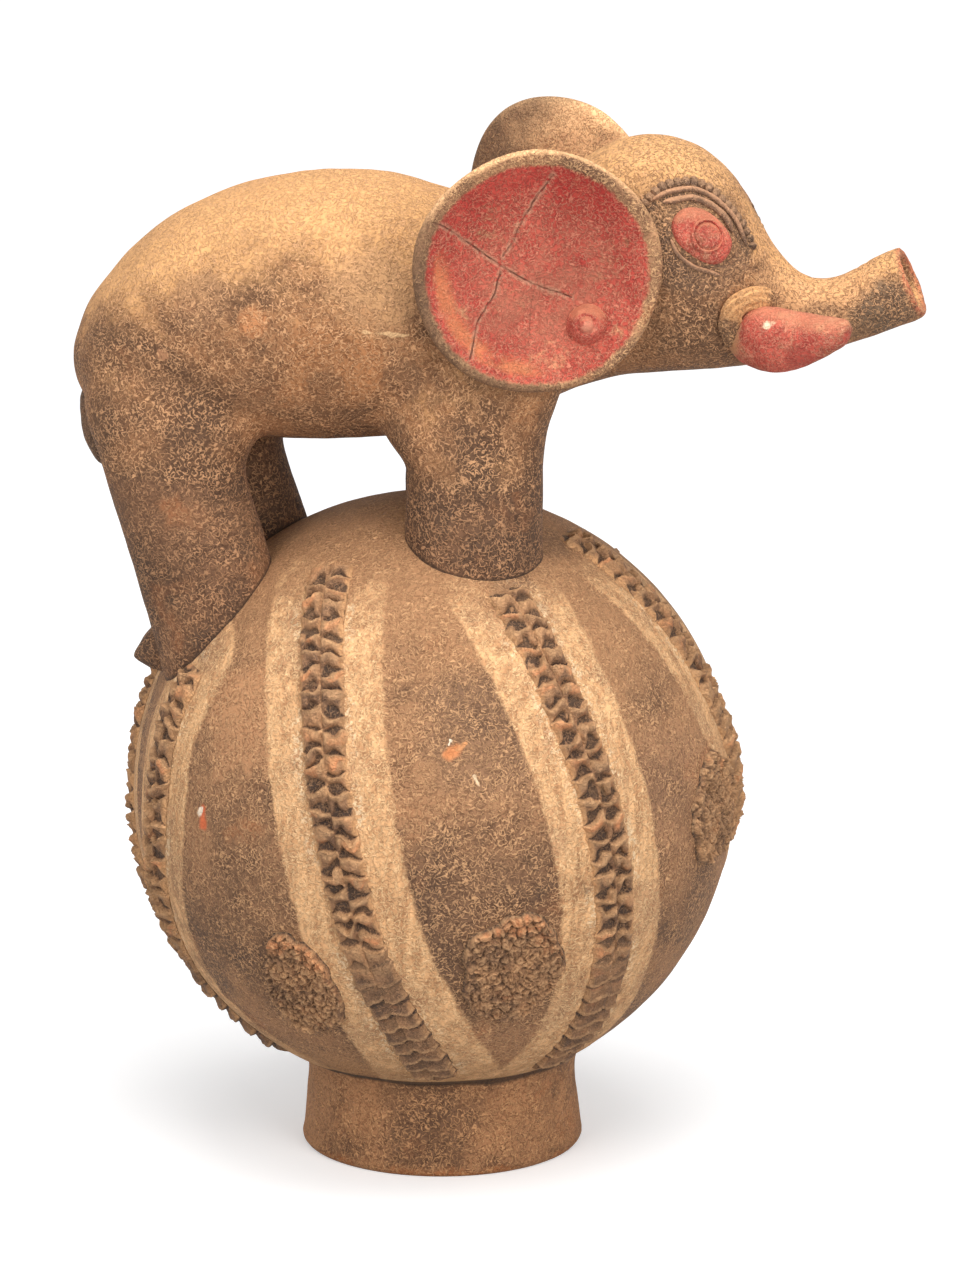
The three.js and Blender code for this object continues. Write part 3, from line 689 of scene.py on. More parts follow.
def hollow_size(scale, local, jagged):
    """How tall the arched hollow under a crest is at a place across its scale."""
    peak = scale["peak"] - 0.5 * jagged
    reach = 1 - peak if local > peak else 1 + peak
    tall = HOLLOW_END - scale["arch"] + 0.18 * jagged
    return tall * (1 - min(abs(local - peak) / reach, 1) ** 1.4)


def scale_height(scale, a, local, lapped, fall, tall):
    """Height of a scale: a crest above a hollow, or a lap with a lip near the foot."""
    brink = HOLLOW_END - tall
    low = MIDDLE_HEIGHT - 0.35 * min(tall / 0.15, 1)
    if fall < brink:
        pinch = 1 - 0.55 * (fall / brink) ** 3
    elif fall < HOLLOW_END:
        pinch = MIDDLE_HEIGHT - (MIDDLE_HEIGHT - low) * smooth_step(fall, brink, brink + 0.07)
    else:
        pinch = low + (1 - low) * smooth_step(fall, HOLLOW_END, 1)
    pinch += (MIDDLE_HEIGHT - pinch) * (1 - smooth_step(abs(a), 0, 0.13))
    lip = 0.85 * (fall / 0.9) ** 1.4 if fall < 0.9 else 0.85 - 0.85 * (fall - 0.9) / 0.1
    along = pinch * (1 - lapped) + (lip + 0.15) * lapped
    across = (0.5 + 0.5 * (1 - abs(local + 0.3) / 1.3)) * (1 - lapped) + 0.9 * lapped
    across *= 1 - 0.8 * smooth_step(abs(a), 0.8, 1)
    height = RIB_CREST * (1 - 0.2 * lapped) * scale["height"] * along * across
    return height + 0.7 * (1 - abs(a) ** 4)


def scale_tints(scale, local, lapped, fall, tall):
    """Wear, shade and pale crest of a scale: the shade is soot and painted shade in the hollows and
    painted shadow under each lap's lip, the crest a painted highlight on the crests and the laps' lips.
    """
    brink = HOLLOW_END - tall
    # Hollow: soot and painted shade
    hollow = smooth_step(fall, brink, brink + 0.05) * (1 - smooth_step(fall, 0.85, HOLLOW_END))
    hollow *= min(tall / 0.08, 1) * (0.85 + 0.15 * scale["soot"])
    # Lap: painted shadow under the lip above, over a darker tone of the whole lap
    gap = max(1 - smooth_step(fall, 0.14, 0.3), smooth_step(fall, 0.9, 0.96),
              0.2 + 0.4 * scale["soot"])
    shade = max(hollow, 0.35 * scale["soot"] ** 2) * (1 - lapped) + gap * lapped
    worn = smooth_step(scale["wear"], 0.5, 0.8) * (1 - smooth_step(fall, 0.2, 0.4))
    worn *= smooth_step(local, -0.7, -0.2) * (1 - 0.8 * lapped)
    # Painted highlight on the crest and the rise beneath it, and on a lap's lip
    ridge = max(smooth_step(fall, 0.88, 0.95), 1 - smooth_step(fall, 0.1, 0.36))
    lit = smooth_step(fall, 0.68, 0.78) * (1 - smooth_step(fall, 0.86, 0.91))
    return worn, shade, ridge * (1 - lapped) + 0.75 * lit * lapped


def globe_shell(hollow):
    """Globe with soft unevenness, raised slip bands and its own measure of each rib's distance."""
    bm = ball(288, 160, GLOBE_RADIUS * MM, GLOBE_MIDDLE)
    weather(bm, [(70, 0.5), (26, 0.3), (10, 0.12)], 5)
    bm = carved(bm, hollow)
    tree = spot_tree([GLOBE_MIDDLE + spot for line in RIB_LINES for spot in line.spots])
    band, gap_layer = (bm.verts.layers.float.new(name) for name in ("band", "rib_gap"))
    for vert in bm.verts:
        spot, found, gap = tree.find(vert.co)
        index, step = divmod(found, LINE_STEPS + 1)
        _, side = RIB_LINES[index].frame(step / LINE_STEPS)
        left, right = BAND_EDGES[index]
        outer = right if (vert.co - spot).dot(side) > 0 else left
        vert[band] = gap / (outer * MM)
        vert[gap_layer] = gap
        inside = (vert.co - GLOBE_MIDDLE).length < (GLOBE_RADIUS - 3) * MM
        if not inside:
            raised = 1 - smooth_step(vert[band], 0.95, 1.06)
            vert.co += (vert.co - GLOBE_MIDDLE).normalized() * 0.45 * MM * raised
    return bm


def roundel_outline(index, angle):
    """Share of the plain oval's radius at an angle, uneven as a hand leaves it."""
    seed = ROUNDELS[index][4]
    uneven = 1 + 0.05 * math.sin(3 * angle + seed) + 0.04 * math.sin(5 * angle + 2 * seed)
    uneven += 0.02 * math.sin(11 * angle + seed) + 0.015 * math.sin(17 * angle + 3 * seed)
    if index == TORN_ROUNDEL:
        for rise, middle, width in TORN_EDGE:
            uneven += rise * math.exp(-((angle - middle) / width) ** 2)
    return uneven


def roundel(index):
    """Low patch with curled creases and a raised edge, pressed on the globe."""
    longitude, latitude, half_width, half_height, seed = ROUNDELS[index]
    out = globe_direction(longitude, latitude)
    across = UP.cross(out).normalized()
    rise = out.cross(across)
    bm = ball(232, 116)
    layers = [bm.verts.layers.float.new(name) for name in ("worn", "shade", "crest")]
    for vert in bm.verts:
        unit = vert.co.copy()
        radius = math.acos(clamp(abs(unit.z))) / (math.pi / 2)
        angle = math.atan2(unit.y, unit.x)
        reach = radius * roundel_outline(index, angle)
        x, y = reach * math.cos(angle), reach * math.sin(angle)
        flat = out * GLOBE_RADIUS + across * x * half_width + rise * y * half_height
        spot = flat * MM
        rim = 1 - smooth_step(radius, 0.93, 1)
        lumps = noise.voronoi(spot / (6.5 * MM) + Vector((seed, 0, 0)))[0]
        flake = smooth_step(lumps[1] - lumps[0], 0.02, 0.22)
        curl = max(1 - smooth_step(abs(roughness_of(spot, size, seed + size)), 0.02, 0.2)
                   for size in (4.8, 3.3))
        ridge = 0.45 * flake + 0.55 * curl
        edge = smooth_step(radius, 0.82, 0.9) * rim
        upper = smooth_step(y + 0.25 * x, 0.4, 0.6) * smooth_step(radius, 0.6, 0.75)
        open_clay = smooth_step(roughness_of(spot, 13, seed + 7), -0.12, 0.06)
        lift = -1.0
        if unit.z > -1e-6:
            lift = 0.3 + rim * (ROUNDEL_RISE + 2.3 * ridge + 0.7 * edge)
            lift += rim * 0.5 * upper * flake
        if index == OPEN_ROUNDEL:
            lift -= 2.2 * (1 - open_clay) * (1 - 0.6 * curl)
        vert.co = GLOBE_MIDDLE + flat.normalized() * (GLOBE_RADIUS + lift) * MM
        flecked = smooth_step(roughness_of(spot, 9, seed + 3), -0.15, 0.1)
        flecks = 0.25 + 0.75 * flecked if index == TORN_ROUNDEL else flecked ** 3
        tints = (flake * rim * upper * flecks,
                 max(0.76 * (1 - ridge) ** 1.7, smooth_step(radius, 0.95, 0.985)),
                 curl * flake + 0.4 * upper * flake * rim)
        for layer, tint in zip(layers, tints):
            vert[layer] = tint
    face_outwards(bm)
    return bm


# Ears


def ear_frame(side):
    """Matrix from an ear's own plane, dish facing its Z, to its place."""
    forward, out, height = EARS[side]["middle"]
    turn, tilt = math.radians(EARS[side]["turn"]), math.radians(EAR_TILT)
    axis = Vector((math.cos(tilt) * math.sin(turn), side * math.cos(tilt) * math.cos(turn),
                   math.sin(tilt)))
    return Matrix.Translation(at(forward, side * out, height)) @ facing_frame(axis, FORWARD)


def ear_profile():
    """Half section of an ear from the middle of its back round the rim to the dish's middle."""
    back, dish = -EAR_DISH - EAR_WALL, -EAR_DISH
    rows = [(0, back), (0.18, back + 0.2), (0.33, back + 1), (0.63, 0.74 * back),
            (0.86, 0.42 * back), (0.965, -5), (1, -1.6), (0.992, 0.8), (0.965, 2.1),
            (0.93, 1.9), (0.89, 0.9), (0.84, -0.6), (0.76, 0.28 * dish), (0.66, 0.53 * dish),
            (0.52, 0.78 * dish), (0.3, 0.95 * dish), (0.15, 0.99 * dish), (0, dish)]
    return profile(rows, 110, EAR_RADIUS)


# Cracks of the near ear, in shares of its radius forward and up from its middle
CRACKS = [
    [(-0.84, 0.41), (-0.77, 0.38), (-0.29, 0.03), (-0.02, -0.125), (0.29, -0.23)],
    [(0.12, 0.79), (-0.07, 0.485), (-0.26, 0.1)],
    [(-0.29, -0.025), (-0.33, -0.2), (-0.48, -0.45), (-0.54, -0.70)],
]
FAINT_CRACKS = [
    [(0.01, -0.09), (0.2, -0.02), (0.4, 0.04)],
    [(-0.02, -0.17), (-0.05, -0.38), (-0.04, -0.55)],
]


def ear(side):
    """Dished disc with a rounded rim; its own plane is kept for the pattern of its finish."""
    bm = turned(ear_profile(), 224)
    bm.normal_update()
    plane = bm.verts.layers.float_vector.new("ear_plane")
    tree = spot_tree([spline([Vector((*place, 0)) for place in crack], i / 120)
                      for crack in CRACKS for i in range(121)])
    for vert in bm.verts:
        x, y, z = vert.co / (EAR_RADIUS * MM)
        rim = smooth_step(math.hypot(x, y), 0.8, 1)
        angle = math.atan2(y, x)
        uneven = 1 + rim * (0.012 * math.sin(2 * angle + 1) + 0.008 * math.sin(5 * angle))
        up = -side * y
        if side == RIGHT:
            vert[plane] = Vector((x, up, vert.normal.z))
        else:
            vert[plane] = Vector((0.2 * x - 0.98 * up, 0.98 * x + 0.2 * up, vert.normal.z))
        wave = 0.5 * roughness_of(vert.co, 22, side) + 0.25 * roughness_of(vert.co, 8, side)
        vert.co.z += wave * MM
        if side == RIGHT and z > -0.3 and vert.co.z > -1.2 * EAR_DISH * MM:
            gap = tree.find(Vector((x, up, 0)))[2] * EAR_RADIUS
            vert.co.z -= 0.7 * MM * math.exp(-(gap / 0.8) ** 2)
        vert.co.x *= uneven
        vert.co.y *= uneven
    squeeze = Matrix.Diagonal((EARS[side]["squeeze"], 1, 1, 1))
    roll = Matrix.Rotation(side * math.radians(EARS[side]["roll"]), 4, "Z")
    bm.transform(ear_frame(side) @ roll @ squeeze)
    return bm


def boss_spot(side):
    """Middle of the boss's base, in its ear's own plane."""
    squeeze = EARS[side]["squeeze"]
    return Vector((squeeze * BOSS_FORWARD * EAR_RADIUS, side * BOSS_DROP * EAR_RADIUS,
                   -BOSS_DEPTH)) * MM


def ear_boss(side):
    """Cone with a shoulder and a worn nipple, standing in the dish."""
    rows = [(0, -3.5), (0.7, -3.5), (1.12, -3.2), (1.1, 0), (1.02, 1.6), (0.93, 3.4), (0.84, 5.2),
            (0.72, 6.8), (0.58, 7.8), (0.46, 7.6), (0.4, 7.9), (0.36, 9.4), (0.22, 10.6), (0, 11)]
    bm = turned(profile(rows, 60, BOSS_RADIUS), 72)
    weather(bm, [(9, 0.5), (4, 0.25)], side)
    spot = boss_spot(side)
    lean = Vector((-spot.x, -spot.y, 0)).normalized() * 0.25 + UP
    bm.transform(ear_frame(side) @ Matrix.Translation(spot) @ upright_to(lean.normalized()))
    return bm


# Small pieces of the head


class HeadLine:
    """Line laid over the head along places, with its own directions at every share."""

    def __init__(self, places, side, count):
        seats = [seat(place, side) for place in places]
        self.spots, self.length = even_line([spot for spot, _ in seats], count + 1)
        self.normals = [normal for _, normal in seats]
        self.count = count

    def frame(self, share):
        """Spot, direction across the line and direction off the head."""
        place = share * self.count
        i = min(int(place), self.count - 1)
        spot = self.spots[i].lerp(self.spots[i + 1], place - i)
        ahead = self.spots[min(i + 2, self.count)] - self.spots[max(i - 1, 0)]
        ahead.normalize()
        across = ahead.cross(spline(self.normals, share).normalized()).normalized()
        return spot, across, across.cross(ahead).normalized()


def laid_bar(places, radius, side, flat=0.8, wrinkle=0.0, around=24, along=90):
    """Rounded coil of clay laid along places on the head, thin at both ends."""
    line = HeadLine(places, side, 80)
    bm = ball(around, along)
    for vert in bm.verts:
        share, turn = pole_place(vert.co)
        spot, across, over = line.frame(share)
        size = radius * min(1, 3.2 * math.sqrt(max(share * (1 - share), 0)))
        size *= 1 + wrinkle * math.sin(9 * turn + 3 * roughness_of(spot, 14))
        size *= 1 + 0.15 * roughness_of(spot, 6, radius)
        vert.co = spot + (across * size * math.cos(turn) + over * size * flat * math.sin(turn)
                          + over * 0.3 * radius) * MM
    face_outwards(bm)
    return bm


def notched_row(side):
    """Row of pinched pellets that run into each other above the brows."""
    line = HeadLine(BROW_NOTCHES, side, 160)
    count = round(line.length / (NOTCH_PITCH * MM))
    draw = random.Random(31)
    sizes = [draw.uniform(0.8, 1.15) for _ in range(count + 2)]
    bulk = 1 if side == RIGHT else FAR_NOTCH_SHARE
    bm = ball(28, count * 14)
    for vert in bm.verts:
        share, turn = pole_place(vert.co)
        spot, across, over = line.frame(share)
        beat = share * count
        swell = 1 - abs(2 * (beat % 1) - 1) ** 3
        size = bulk * (1.1 + 1.5 * swell * sizes[int(beat)])
        size *= min(1, 6 * math.sqrt(share * (1 - share)))
        vert.co = spot + (across * 1.25 * size * math.cos(turn)
                          + over * 0.85 * size * math.sin(turn)) * MM
    face_outwards(bm)
    weather(bm, [(3, 0.35)], side)
    return bm


def eye_matrix(side):
    spot, normal = seat(EYE_MIDDLE, side)
    tangent = seat(EYE_FRONT, side)[0] - seat(EYE_REAR, side)[0]
    return Matrix.Translation(spot - normal * EYE_SINK * MM) @ facing_frame(normal, tangent)


def eye(side):
    """Almond lump: full above, straighter below, with soft corners."""
    bm = ball(96, 64)
    for vert in bm.verts:
        x, y, z = vert.co
        corner = 1 - 0.16 * abs(x) ** 3
        full = 1.04 if -side * y > 0 else 0.86
        vert.co = Vector((x * EYE_SIZE[0] * corner, y * EYE_SIZE[1] * full * corner,
                          z * EYE_SIZE[2])) * MM
    weather(bm, [(12, 0.3), (5, 0.12)], side)
    bm.transform(eye_matrix(side))
    return bm


def pupil(side):
    """Disc with a raised ring, pressed on the eye."""
    edge = [(0, -5), (0, -0.6), (0.4, 0.5), (0.9, 1.0), (1.5, 0.9), (1.9, -0.1), (2.5, 0),
            (3.0, 1.0), (4.2, 1.6)]
    rows = [(0, -5), *((PUPIL_RADIUS - inwards, height) for inwards, height in edge), (0, 2.1)]
    bm = turned(profile(rows, 72), 72)
    weather(bm, [(6, 0.2), (2.5, 0.08)], side)
    spot, normal = seat(PUPIL_SPOT, side)
    lift = (EYE_SIZE[2] - EYE_SINK - 0.7) * MM
    bm.transform(Matrix.Translation(spot + normal * lift) @ upright_to(normal))
    return bm


def tusk(side):
    """Short horn-shaped tusk with a blunt tip."""
    drop = FAR_TUSK_DROP if side == LEFT else 0
    rows = [(at(forward, side * out, height - drop), Vector((0, 0, half_height * MM)), half * MM)
            for forward, out, height, half_height, half in TUSK]
    bm = loft(rows, 72, 80)
    weather(bm, [(24, 0.4), (9, 0.3), (4, 0.15)], side)
    return bm


def tail():
    rows = [(at(forward, 0, height), Vector((radius * MM, 0, 0)), radius * MM)
            for forward, height, radius in TAIL]
    bm = loft(rows, 48, 64)
    weather(bm, [(14, 0.6), (5, 0.35)], 3)
    return bm


def heel(side):
    """Spur of clay pressed between the back of a rear leg and the globe."""
    low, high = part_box(f"heel_rear_{SIDES[side]}")
    middle = (low + high) / 2
    middle.x = high.x
    size = Vector((high.x - low.x, (high.y - low.y) / 2, (high.z - low.z) / 2 + MM))
    bm = ball(56, 40)
    for vert in bm.verts:
        x, y, z = vert.co
        back = max(-x, 0)
        vert.co = middle + Vector((x * size.x, y * size.y * (1 - 0.2 * back),
                                   (z * (1 - 0.5 * back * back) - 0.4 * back * back) * size.z))
    weather(bm, [(14, 0.7), (6, 0.4), (3, 0.2)], side)
    return bm


def foot_ring():
    """Turned foot with a hand-smoothed wall and a worn resting edge."""
    inner = [Vector((radius, 0, height)) * MM for radius, height in FOOT_INNER]
    bm = turned(profile(FOOT_PROFILE, 46) + inner, 220, closed=True)
    bm.transform(Matrix.Translation(at(FOOT_FORWARD, 0, 0)))
    bm.normal_update()
    for vert in bm.verts:
        above = smooth_step(vert.co.z, 0, 5 * MM)
        rise = 0.8 * roughness_of(vert.co, 40, 9) + 0.3 * roughness_of(vert.co, 12, 9)
        out = Vector((vert.normal.x, vert.normal.y, 0))
        vert.co += out * rise * above * MM
    return bm


# Node helpers

FLOAT, VECTOR = "NodeSocketFloat", "NodeSocketVector"
HALVES = (0.5, 0.5, 0.5)
FAR_OFF = 9.0
PIT_SHADE = (0.42, 0.35, 0.3, 1)
WARM = (176, 112, 70)
SOOT = (84, 64, 50)
# Painted shadow of the globe's joint with its foot
SEAM_SHADOW = (50, 36, 26)
LEAST_ROUGHNESS = 0.76


def tone(seen):
    """Linear colour from a colour as it is seen, 0 to 255."""
    shares = (value / 255 for value in seen)
    return (*(share / 12.92 if share <= 0.04045 else ((share + 0.055) / 1.055) ** 2.4
              for share in shares), 1)


class Nodes:
    """Adds nodes to one tree and joins them up."""

    def __init__(self, tree):
        self.tree = tree

    def add(self, kind, values=None, **settings):
        node = self.tree.nodes.new(kind)
        for name, value in settings.items():
            setattr(node, name, value)
        for name, value in (values or {}).items():
            self.feed(node.inputs[name], value)
        return node

    def feed(self, socket, value):
        if isinstance(value, bpy.types.NodeSocket):
            self.tree.links.new(value, socket)
        else:
            socket.default_value = value

    def sum(self, operation, first, second=0.0, clamp=False):
        node = self.add("ShaderNodeMath", {0: first, 1: second}, operation=operation)
        node.use_clamp = clamp
        return node.outputs[0]

    def times(self, *factors):
        result = factors[0]
        for factor in factors[1:]:
            result = self.sum("MULTIPLY", result, factor)
        return result

    def plus(self, *values):
        result = values[0]
        for value in values[1:]:
            result = self.sum("ADD", result, value)
        return result

    def stray(self, noise, reach):
        """Shift by a noise, up to half of a reach either way."""
        return self.times(self.sum("SUBTRACT", noise, 0.5), reach)

    def step(self, value, low, high, to_low=0.0, to_high=1.0):
        node = self.add("ShaderNodeMapRange",
                        {"Value": value, "From Min": low, "From Max": high, "To Min": to_low,
                         "To Max": to_high}, interpolation_type="SMOOTHSTEP")
        return node.outputs[0]

    def mix(self, share, low, high, blend="MIX"):
        """Mix of two colours; a colour of three numbers is as it is seen, 0 to 255."""
        node = self.add("ShaderNodeMix", {"Factor": share}, data_type="RGBA", blend_type=blend)
        for index, colour in ((6, low), (7, high)):
            as_seen = isinstance(colour, tuple) and len(colour) == 3
            self.feed(node.inputs[index], tone(colour) if as_seen else colour)
        return node.outputs[2]

    def over(self, colour, shade, *shares):
        """A colour with a shade laid over it by the product of shares."""
        return self.mix(self.times(*shares), colour, shade)

    def vector(self, operation, first, second=(0, 0, 0), output=0):
        return self.add("ShaderNodeVectorMath", {0: first, 1: second},
                        operation=operation).outputs[output]

    def scaled(self, vector, factor):
        return self.add("ShaderNodeVectorMath", {0: vector, "Scale": factor},
                        operation="SCALE").outputs[0]

    def gap(self, place, spot):
        """Distance of a place from a fixed spot."""
        return self.vector("DISTANCE", place, tuple(spot), "Value")

    def line_gap(self, place, lines):
        """Distance of a place from the nearest of several bent lines."""
        nearest = FAR_OFF
        for line in lines:
            for start, end in zip(line, line[1:]):
                stretch = self.group(SEGMENT, {"Place": place, "Start": tuple(start),
                                               "End": tuple(end)})
                nearest = self.sum("MINIMUM", stretch["Gap"], nearest)
        return nearest

    def parts(self, place):
        return self.add("ShaderNodeSeparateXYZ", {"Vector": place}).outputs

    def flat_place(self, x, y):
        return self.add("ShaderNodeCombineXYZ", {"X": x, "Y": y}).outputs[0]

    def move(self, place, shift=(0, 0, 0), stretch=(1, 1, 1)):
        return self.add("ShaderNodeMapping", {"Vector": place, "Location": shift,
                                              "Scale": stretch}).outputs[0]

    def noise(self, place, size, detail=2.0, rough=0.5, twist=0.0):
        scale = self.sum("DIVIDE", 1.0, size) if isinstance(size, bpy.types.NodeSocket) else 1 / size
        node = self.add("ShaderNodeTexNoise", {"Vector": place, "Detail": detail, "Scale": scale,
                                               "Roughness": rough, "Distortion": twist})
        return node.outputs["Fac"]

    def group(self, tree, values):
        node = self.add("ShaderNodeGroup", node_tree=tree)
        for name, value in values.items():
            self.feed(node.inputs[name], value)
        return node.outputs

    def attribute(self, name, output="Fac"):
        return self.add("ShaderNodeAttribute", attribute_name=name).outputs[output]


def effect(name, inputs, outputs):
    """New shader group whose outputs are numbers: its tree, nodes, inputs and outputs."""
    tree = bpy.data.node_groups.new(name, "ShaderNodeTree")
    for label, kind in inputs.items():
        tree.interface.new_socket(label, in_out="INPUT", socket_type=kind)
    for label in outputs:
        tree.interface.new_socket(label, in_out="OUTPUT", socket_type=FLOAT)
    nodes = Nodes(tree)
    start, end = nodes.add("NodeGroupInput"), nodes.add("NodeGroupOutput")
    return tree, nodes, start.outputs, end.inputs


def chaff_grain():
    """Short curled pale fibres, dark creases and pits, as chaff leaves in fired clay."""
    tree, n, given, gives = effect("chaff grain", {"Place": VECTOR, "Size": FLOAT},
                                   ("Fibre", "Pit", "Relief"))
    place, size = given["Place"], given["Size"]
    waves = n.add("ShaderNodeTexNoise", {"Vector": place, "Detail": 1.0,
                                         "Scale": n.sum("DIVIDE", 1.1, size)}).outputs["Color"]
    bent = n.vector("ADD", place, n.scaled(n.vector("SUBTRACT", waves, HALVES), size))

    def curls(shift, share, bend, width):
        """Arcs, one to each cell, turned at random."""
        spot = n.move(bent, shift)
        scale = n.sum("DIVIDE", 1.0, n.sum("MULTIPLY", size, share))
        cells = n.add("ShaderNodeTexVoronoi", {"Vector": spot, "Scale": scale}).outputs
        local = n.scaled(n.vector("SUBTRACT", spot, cells["Position"]), scale)
        axis = n.vector("NORMALIZE", n.vector("SUBTRACT", cells["Color"], HALVES))
        off_axis = n.vector("CROSS_PRODUCT", local, axis)
        off_bend = n.sum("SUBTRACT", n.vector("LENGTH", off_axis, output="Value"), bend)
        half = n.step(n.vector("DOT_PRODUCT", off_axis, (0.5, 0.6, 0.6), "Value"), -0.16, -0.04)
        return n.times(n.step(n.sum("ABSOLUTE", off_bend), width, 0.3 * width), half)

    fibre = n.sum("MAXIMUM", curls((0, 0, 0), 1.15, 0.34, 0.1), curls((3, 2, 5), 0.8, 0.42, 0.12))
    crease = curls((8, 4, 1), 1.1, 0.38, 0.13)
    pits = n.noise(n.move(place, (1, 9, 6)), n.sum("MULTIPLY", size, 0.5), 1.5)
    pit = n.sum("MAXIMUM", n.times(n.step(pits, 0.56, 0.7), 0.9), n.times(crease, 0.75))
    fine = n.noise(place, n.sum("MULTIPLY", size, 0.35), 3.0, 0.6)
    relief = n.plus(n.times(fibre, 0.6), n.times(fine, 0.4))
    n.feed(gives["Fibre"], fibre)
    n.feed(gives["Pit"], pit)
    n.feed(gives["Relief"], n.sum("SUBTRACT", relief, n.times(pit, 0.5)))
    return tree


def fire_patches():
    """Broad patches left by an open firing: clouded, warm and sooty places."""
    tree, n, given, gives = effect("fire patches", {"Place": VECTOR, "Size": FLOAT},
                                   ("Cloud", "Warm", "Soot"))
    for label, shift, share, detail, rough, twist, low, high in (
            ("Cloud", (0, 0, 0), 1, 4.0, 0.62, 0.3, 0.35, 0.65),
            ("Warm", (4, 1, 7), 0.6, 3.0, 0.55, 0.4, 0.56, 0.72),
            ("Soot", (9, 3, 2), 0.5, 4.0, 0.6, 0.2, 0.55, 0.7)):
        size = n.sum("MULTIPLY", given["Size"], share)
        uneven = n.noise(n.move(given["Place"], shift), size, detail, rough, twist)
        n.feed(gives[label], n.step(uneven, low, high))
    return tree


def segment_gap():
    """Distance of a place from a straight stretch."""
    tree, n, given, gives = effect("segment gap", {"Place": VECTOR, "Start": VECTOR, "End": VECTOR},
                                   ("Gap",))
    run = n.vector("SUBTRACT", given["End"], given["Start"])
    off = n.vector("SUBTRACT", given["Place"], given["Start"])
    share = n.sum("DIVIDE", n.vector("DOT_PRODUCT", off, run, "Value"),
                  n.vector("DOT_PRODUCT", run, run, "Value"), clamp=True)
    n.feed(gives["Gap"], n.vector("DISTANCE", off, n.scaled(run, share), "Value"))
    return tree


GRAIN = chaff_grain()
PATCHES = fire_patches()
SEGMENT = segment_gap()


class Finish:
    """One material: its nodes, the place on the piece and the fired clay that all of them share."""

    def __init__(self, name):
        self.material = bpy.data.materials.new(name)
        self.material.use_nodes = True
        tree = self.material.node_tree
        self.shader = tree.nodes["Principled BSDF"]
        self.nodes = Nodes(tree)
        self.place = self.nodes.add("ShaderNodeTexCoord").outputs["Object"]
        facing = self.nodes.add("ShaderNodeNewGeometry").outputs["Normal"]
        self.upward = self.nodes.parts(facing)["Z"]

    def clay(self, dark, middle, pale, fleck, top, patch_size, grain_size):
        """Fired clay in patches, with painted top light: paler on its upper surfaces."""
        n = self.nodes
        self.fleck = fleck
        self.patches = n.group(PATCHES, {"Place": self.place, "Size": patch_size})
        self.grain = n.group(GRAIN, {"Place": self.place, "Size": grain_size})
        colour = n.mix(self.patches["Cloud"], dark, middle)
        colour = n.over(colour, WARM, self.patches["Warm"], 0.45)
        colour = n.over(colour, SOOT, self.patches["Soot"], 0.5)
        streak = n.noise(n.move(self.place, stretch=(0.4, 1, 1)), 0.016, 4.0, 0.65)
        # Painted top light: surfaces that face upwards, made ragged by noise, turn towards the pale
        # colour
        ragged = n.plus(self.upward, n.stray(self.patches["Cloud"], 0.3), n.stray(streak, 0.8))
        self.top = n.times(n.step(ragged, 0.08, 0.82), top)
        return n.mix(self.top, colour, pale)

    def blot(self, colour, spot, reach, shade, strength, ragged=0.5):
        """Uneven patch of another tone round a spot; the reach is in millimetres."""
        n = self.nodes
        uneven = n.noise(self.place, 0.45 * reach * MM, 4.0, 0.65)
        gap = n.plus(n.times(n.gap(self.place, spot), 1 / (reach * MM)),
                     n.stray(uneven, 2 * ragged))
        return n.over(colour, shade, n.step(gap, 1.15, 0.7), strength)

    def blots(self, colour, blots, spot_of):
        """Blots of a table, whose places spot_of turns into spots."""
        for place, *blot in blots:
            colour = self.blot(colour, spot_of(place), *blot)
        return colour

    def head_blots(self, colour, blots):
        """Blots of a table on both sides of the head."""
        for side in SIDES:
            colour = self.blots(colour, blots, lambda place: seat(place, side)[0])
        return colour

    def scratch(self, start, end, width):
        """Mask of a wandering scratch between two places; the width is in millimetres."""
        n = self.nodes
        wobble = n.noise(self.place, 0.006)
        off = n.plus(n.line_gap(self.place, [[start, end]]), n.stray(wobble, 0.006))
        return n.step(n.sum("ABSOLUTE", off), width * MM, 0.3 * width * MM)

    def speckle(self, colour, fibre=0.85, pit=0.95):
        """Pale fibres and darker pits over a colour."""
        n = self.nodes
        uneven = n.noise(n.move(self.place, (6, 3, 1)), 0.018, 4.0, 0.65)
        uneven = n.step(uneven, 0.34, 0.66, 0.58, 1.0)
        # Fewer pits under the painted top light
        pits = n.times(self.grain["Pit"], uneven, n.step(self.top, 0.2, 1.0, 1.0, 0.6), pit)
        colour = n.mix(pits, colour, PIT_SHADE, "MULTIPLY")
        return n.over(colour, self.fleck, self.grain["Fibre"], uneven, fibre)

    def seam(self, colour, reach, high, low, strength):
        """Painted shadow along the joint between the globe and its foot, from one height to another."""
        n = self.nodes
        ragged = n.plus(n.parts(self.place)["Z"], n.stray(n.noise(self.place, 0.03), reach))
        return n.over(colour, SEAM_SHADOW, n.step(ragged, high, low), strength)

    def done(self, colour, relief=None, depth=0.0013):
        n = self.nodes
        relief = self.grain["Relief"] if relief is None else relief
        bump = n.add("ShaderNodeBump", {"Strength": 0.85, "Distance": depth, "Height": relief})
        rough = n.plus(LEAST_ROUGHNESS, n.times(self.grain["Relief"], 0.12))
        for label, value in (("Base Color", colour), ("Roughness", rough),
                             ("Normal", bump.outputs["Normal"]), ("Specular IOR Level", 0.3)):
            n.feed(self.shader.inputs[label], value)
        return self.material


# Finishes

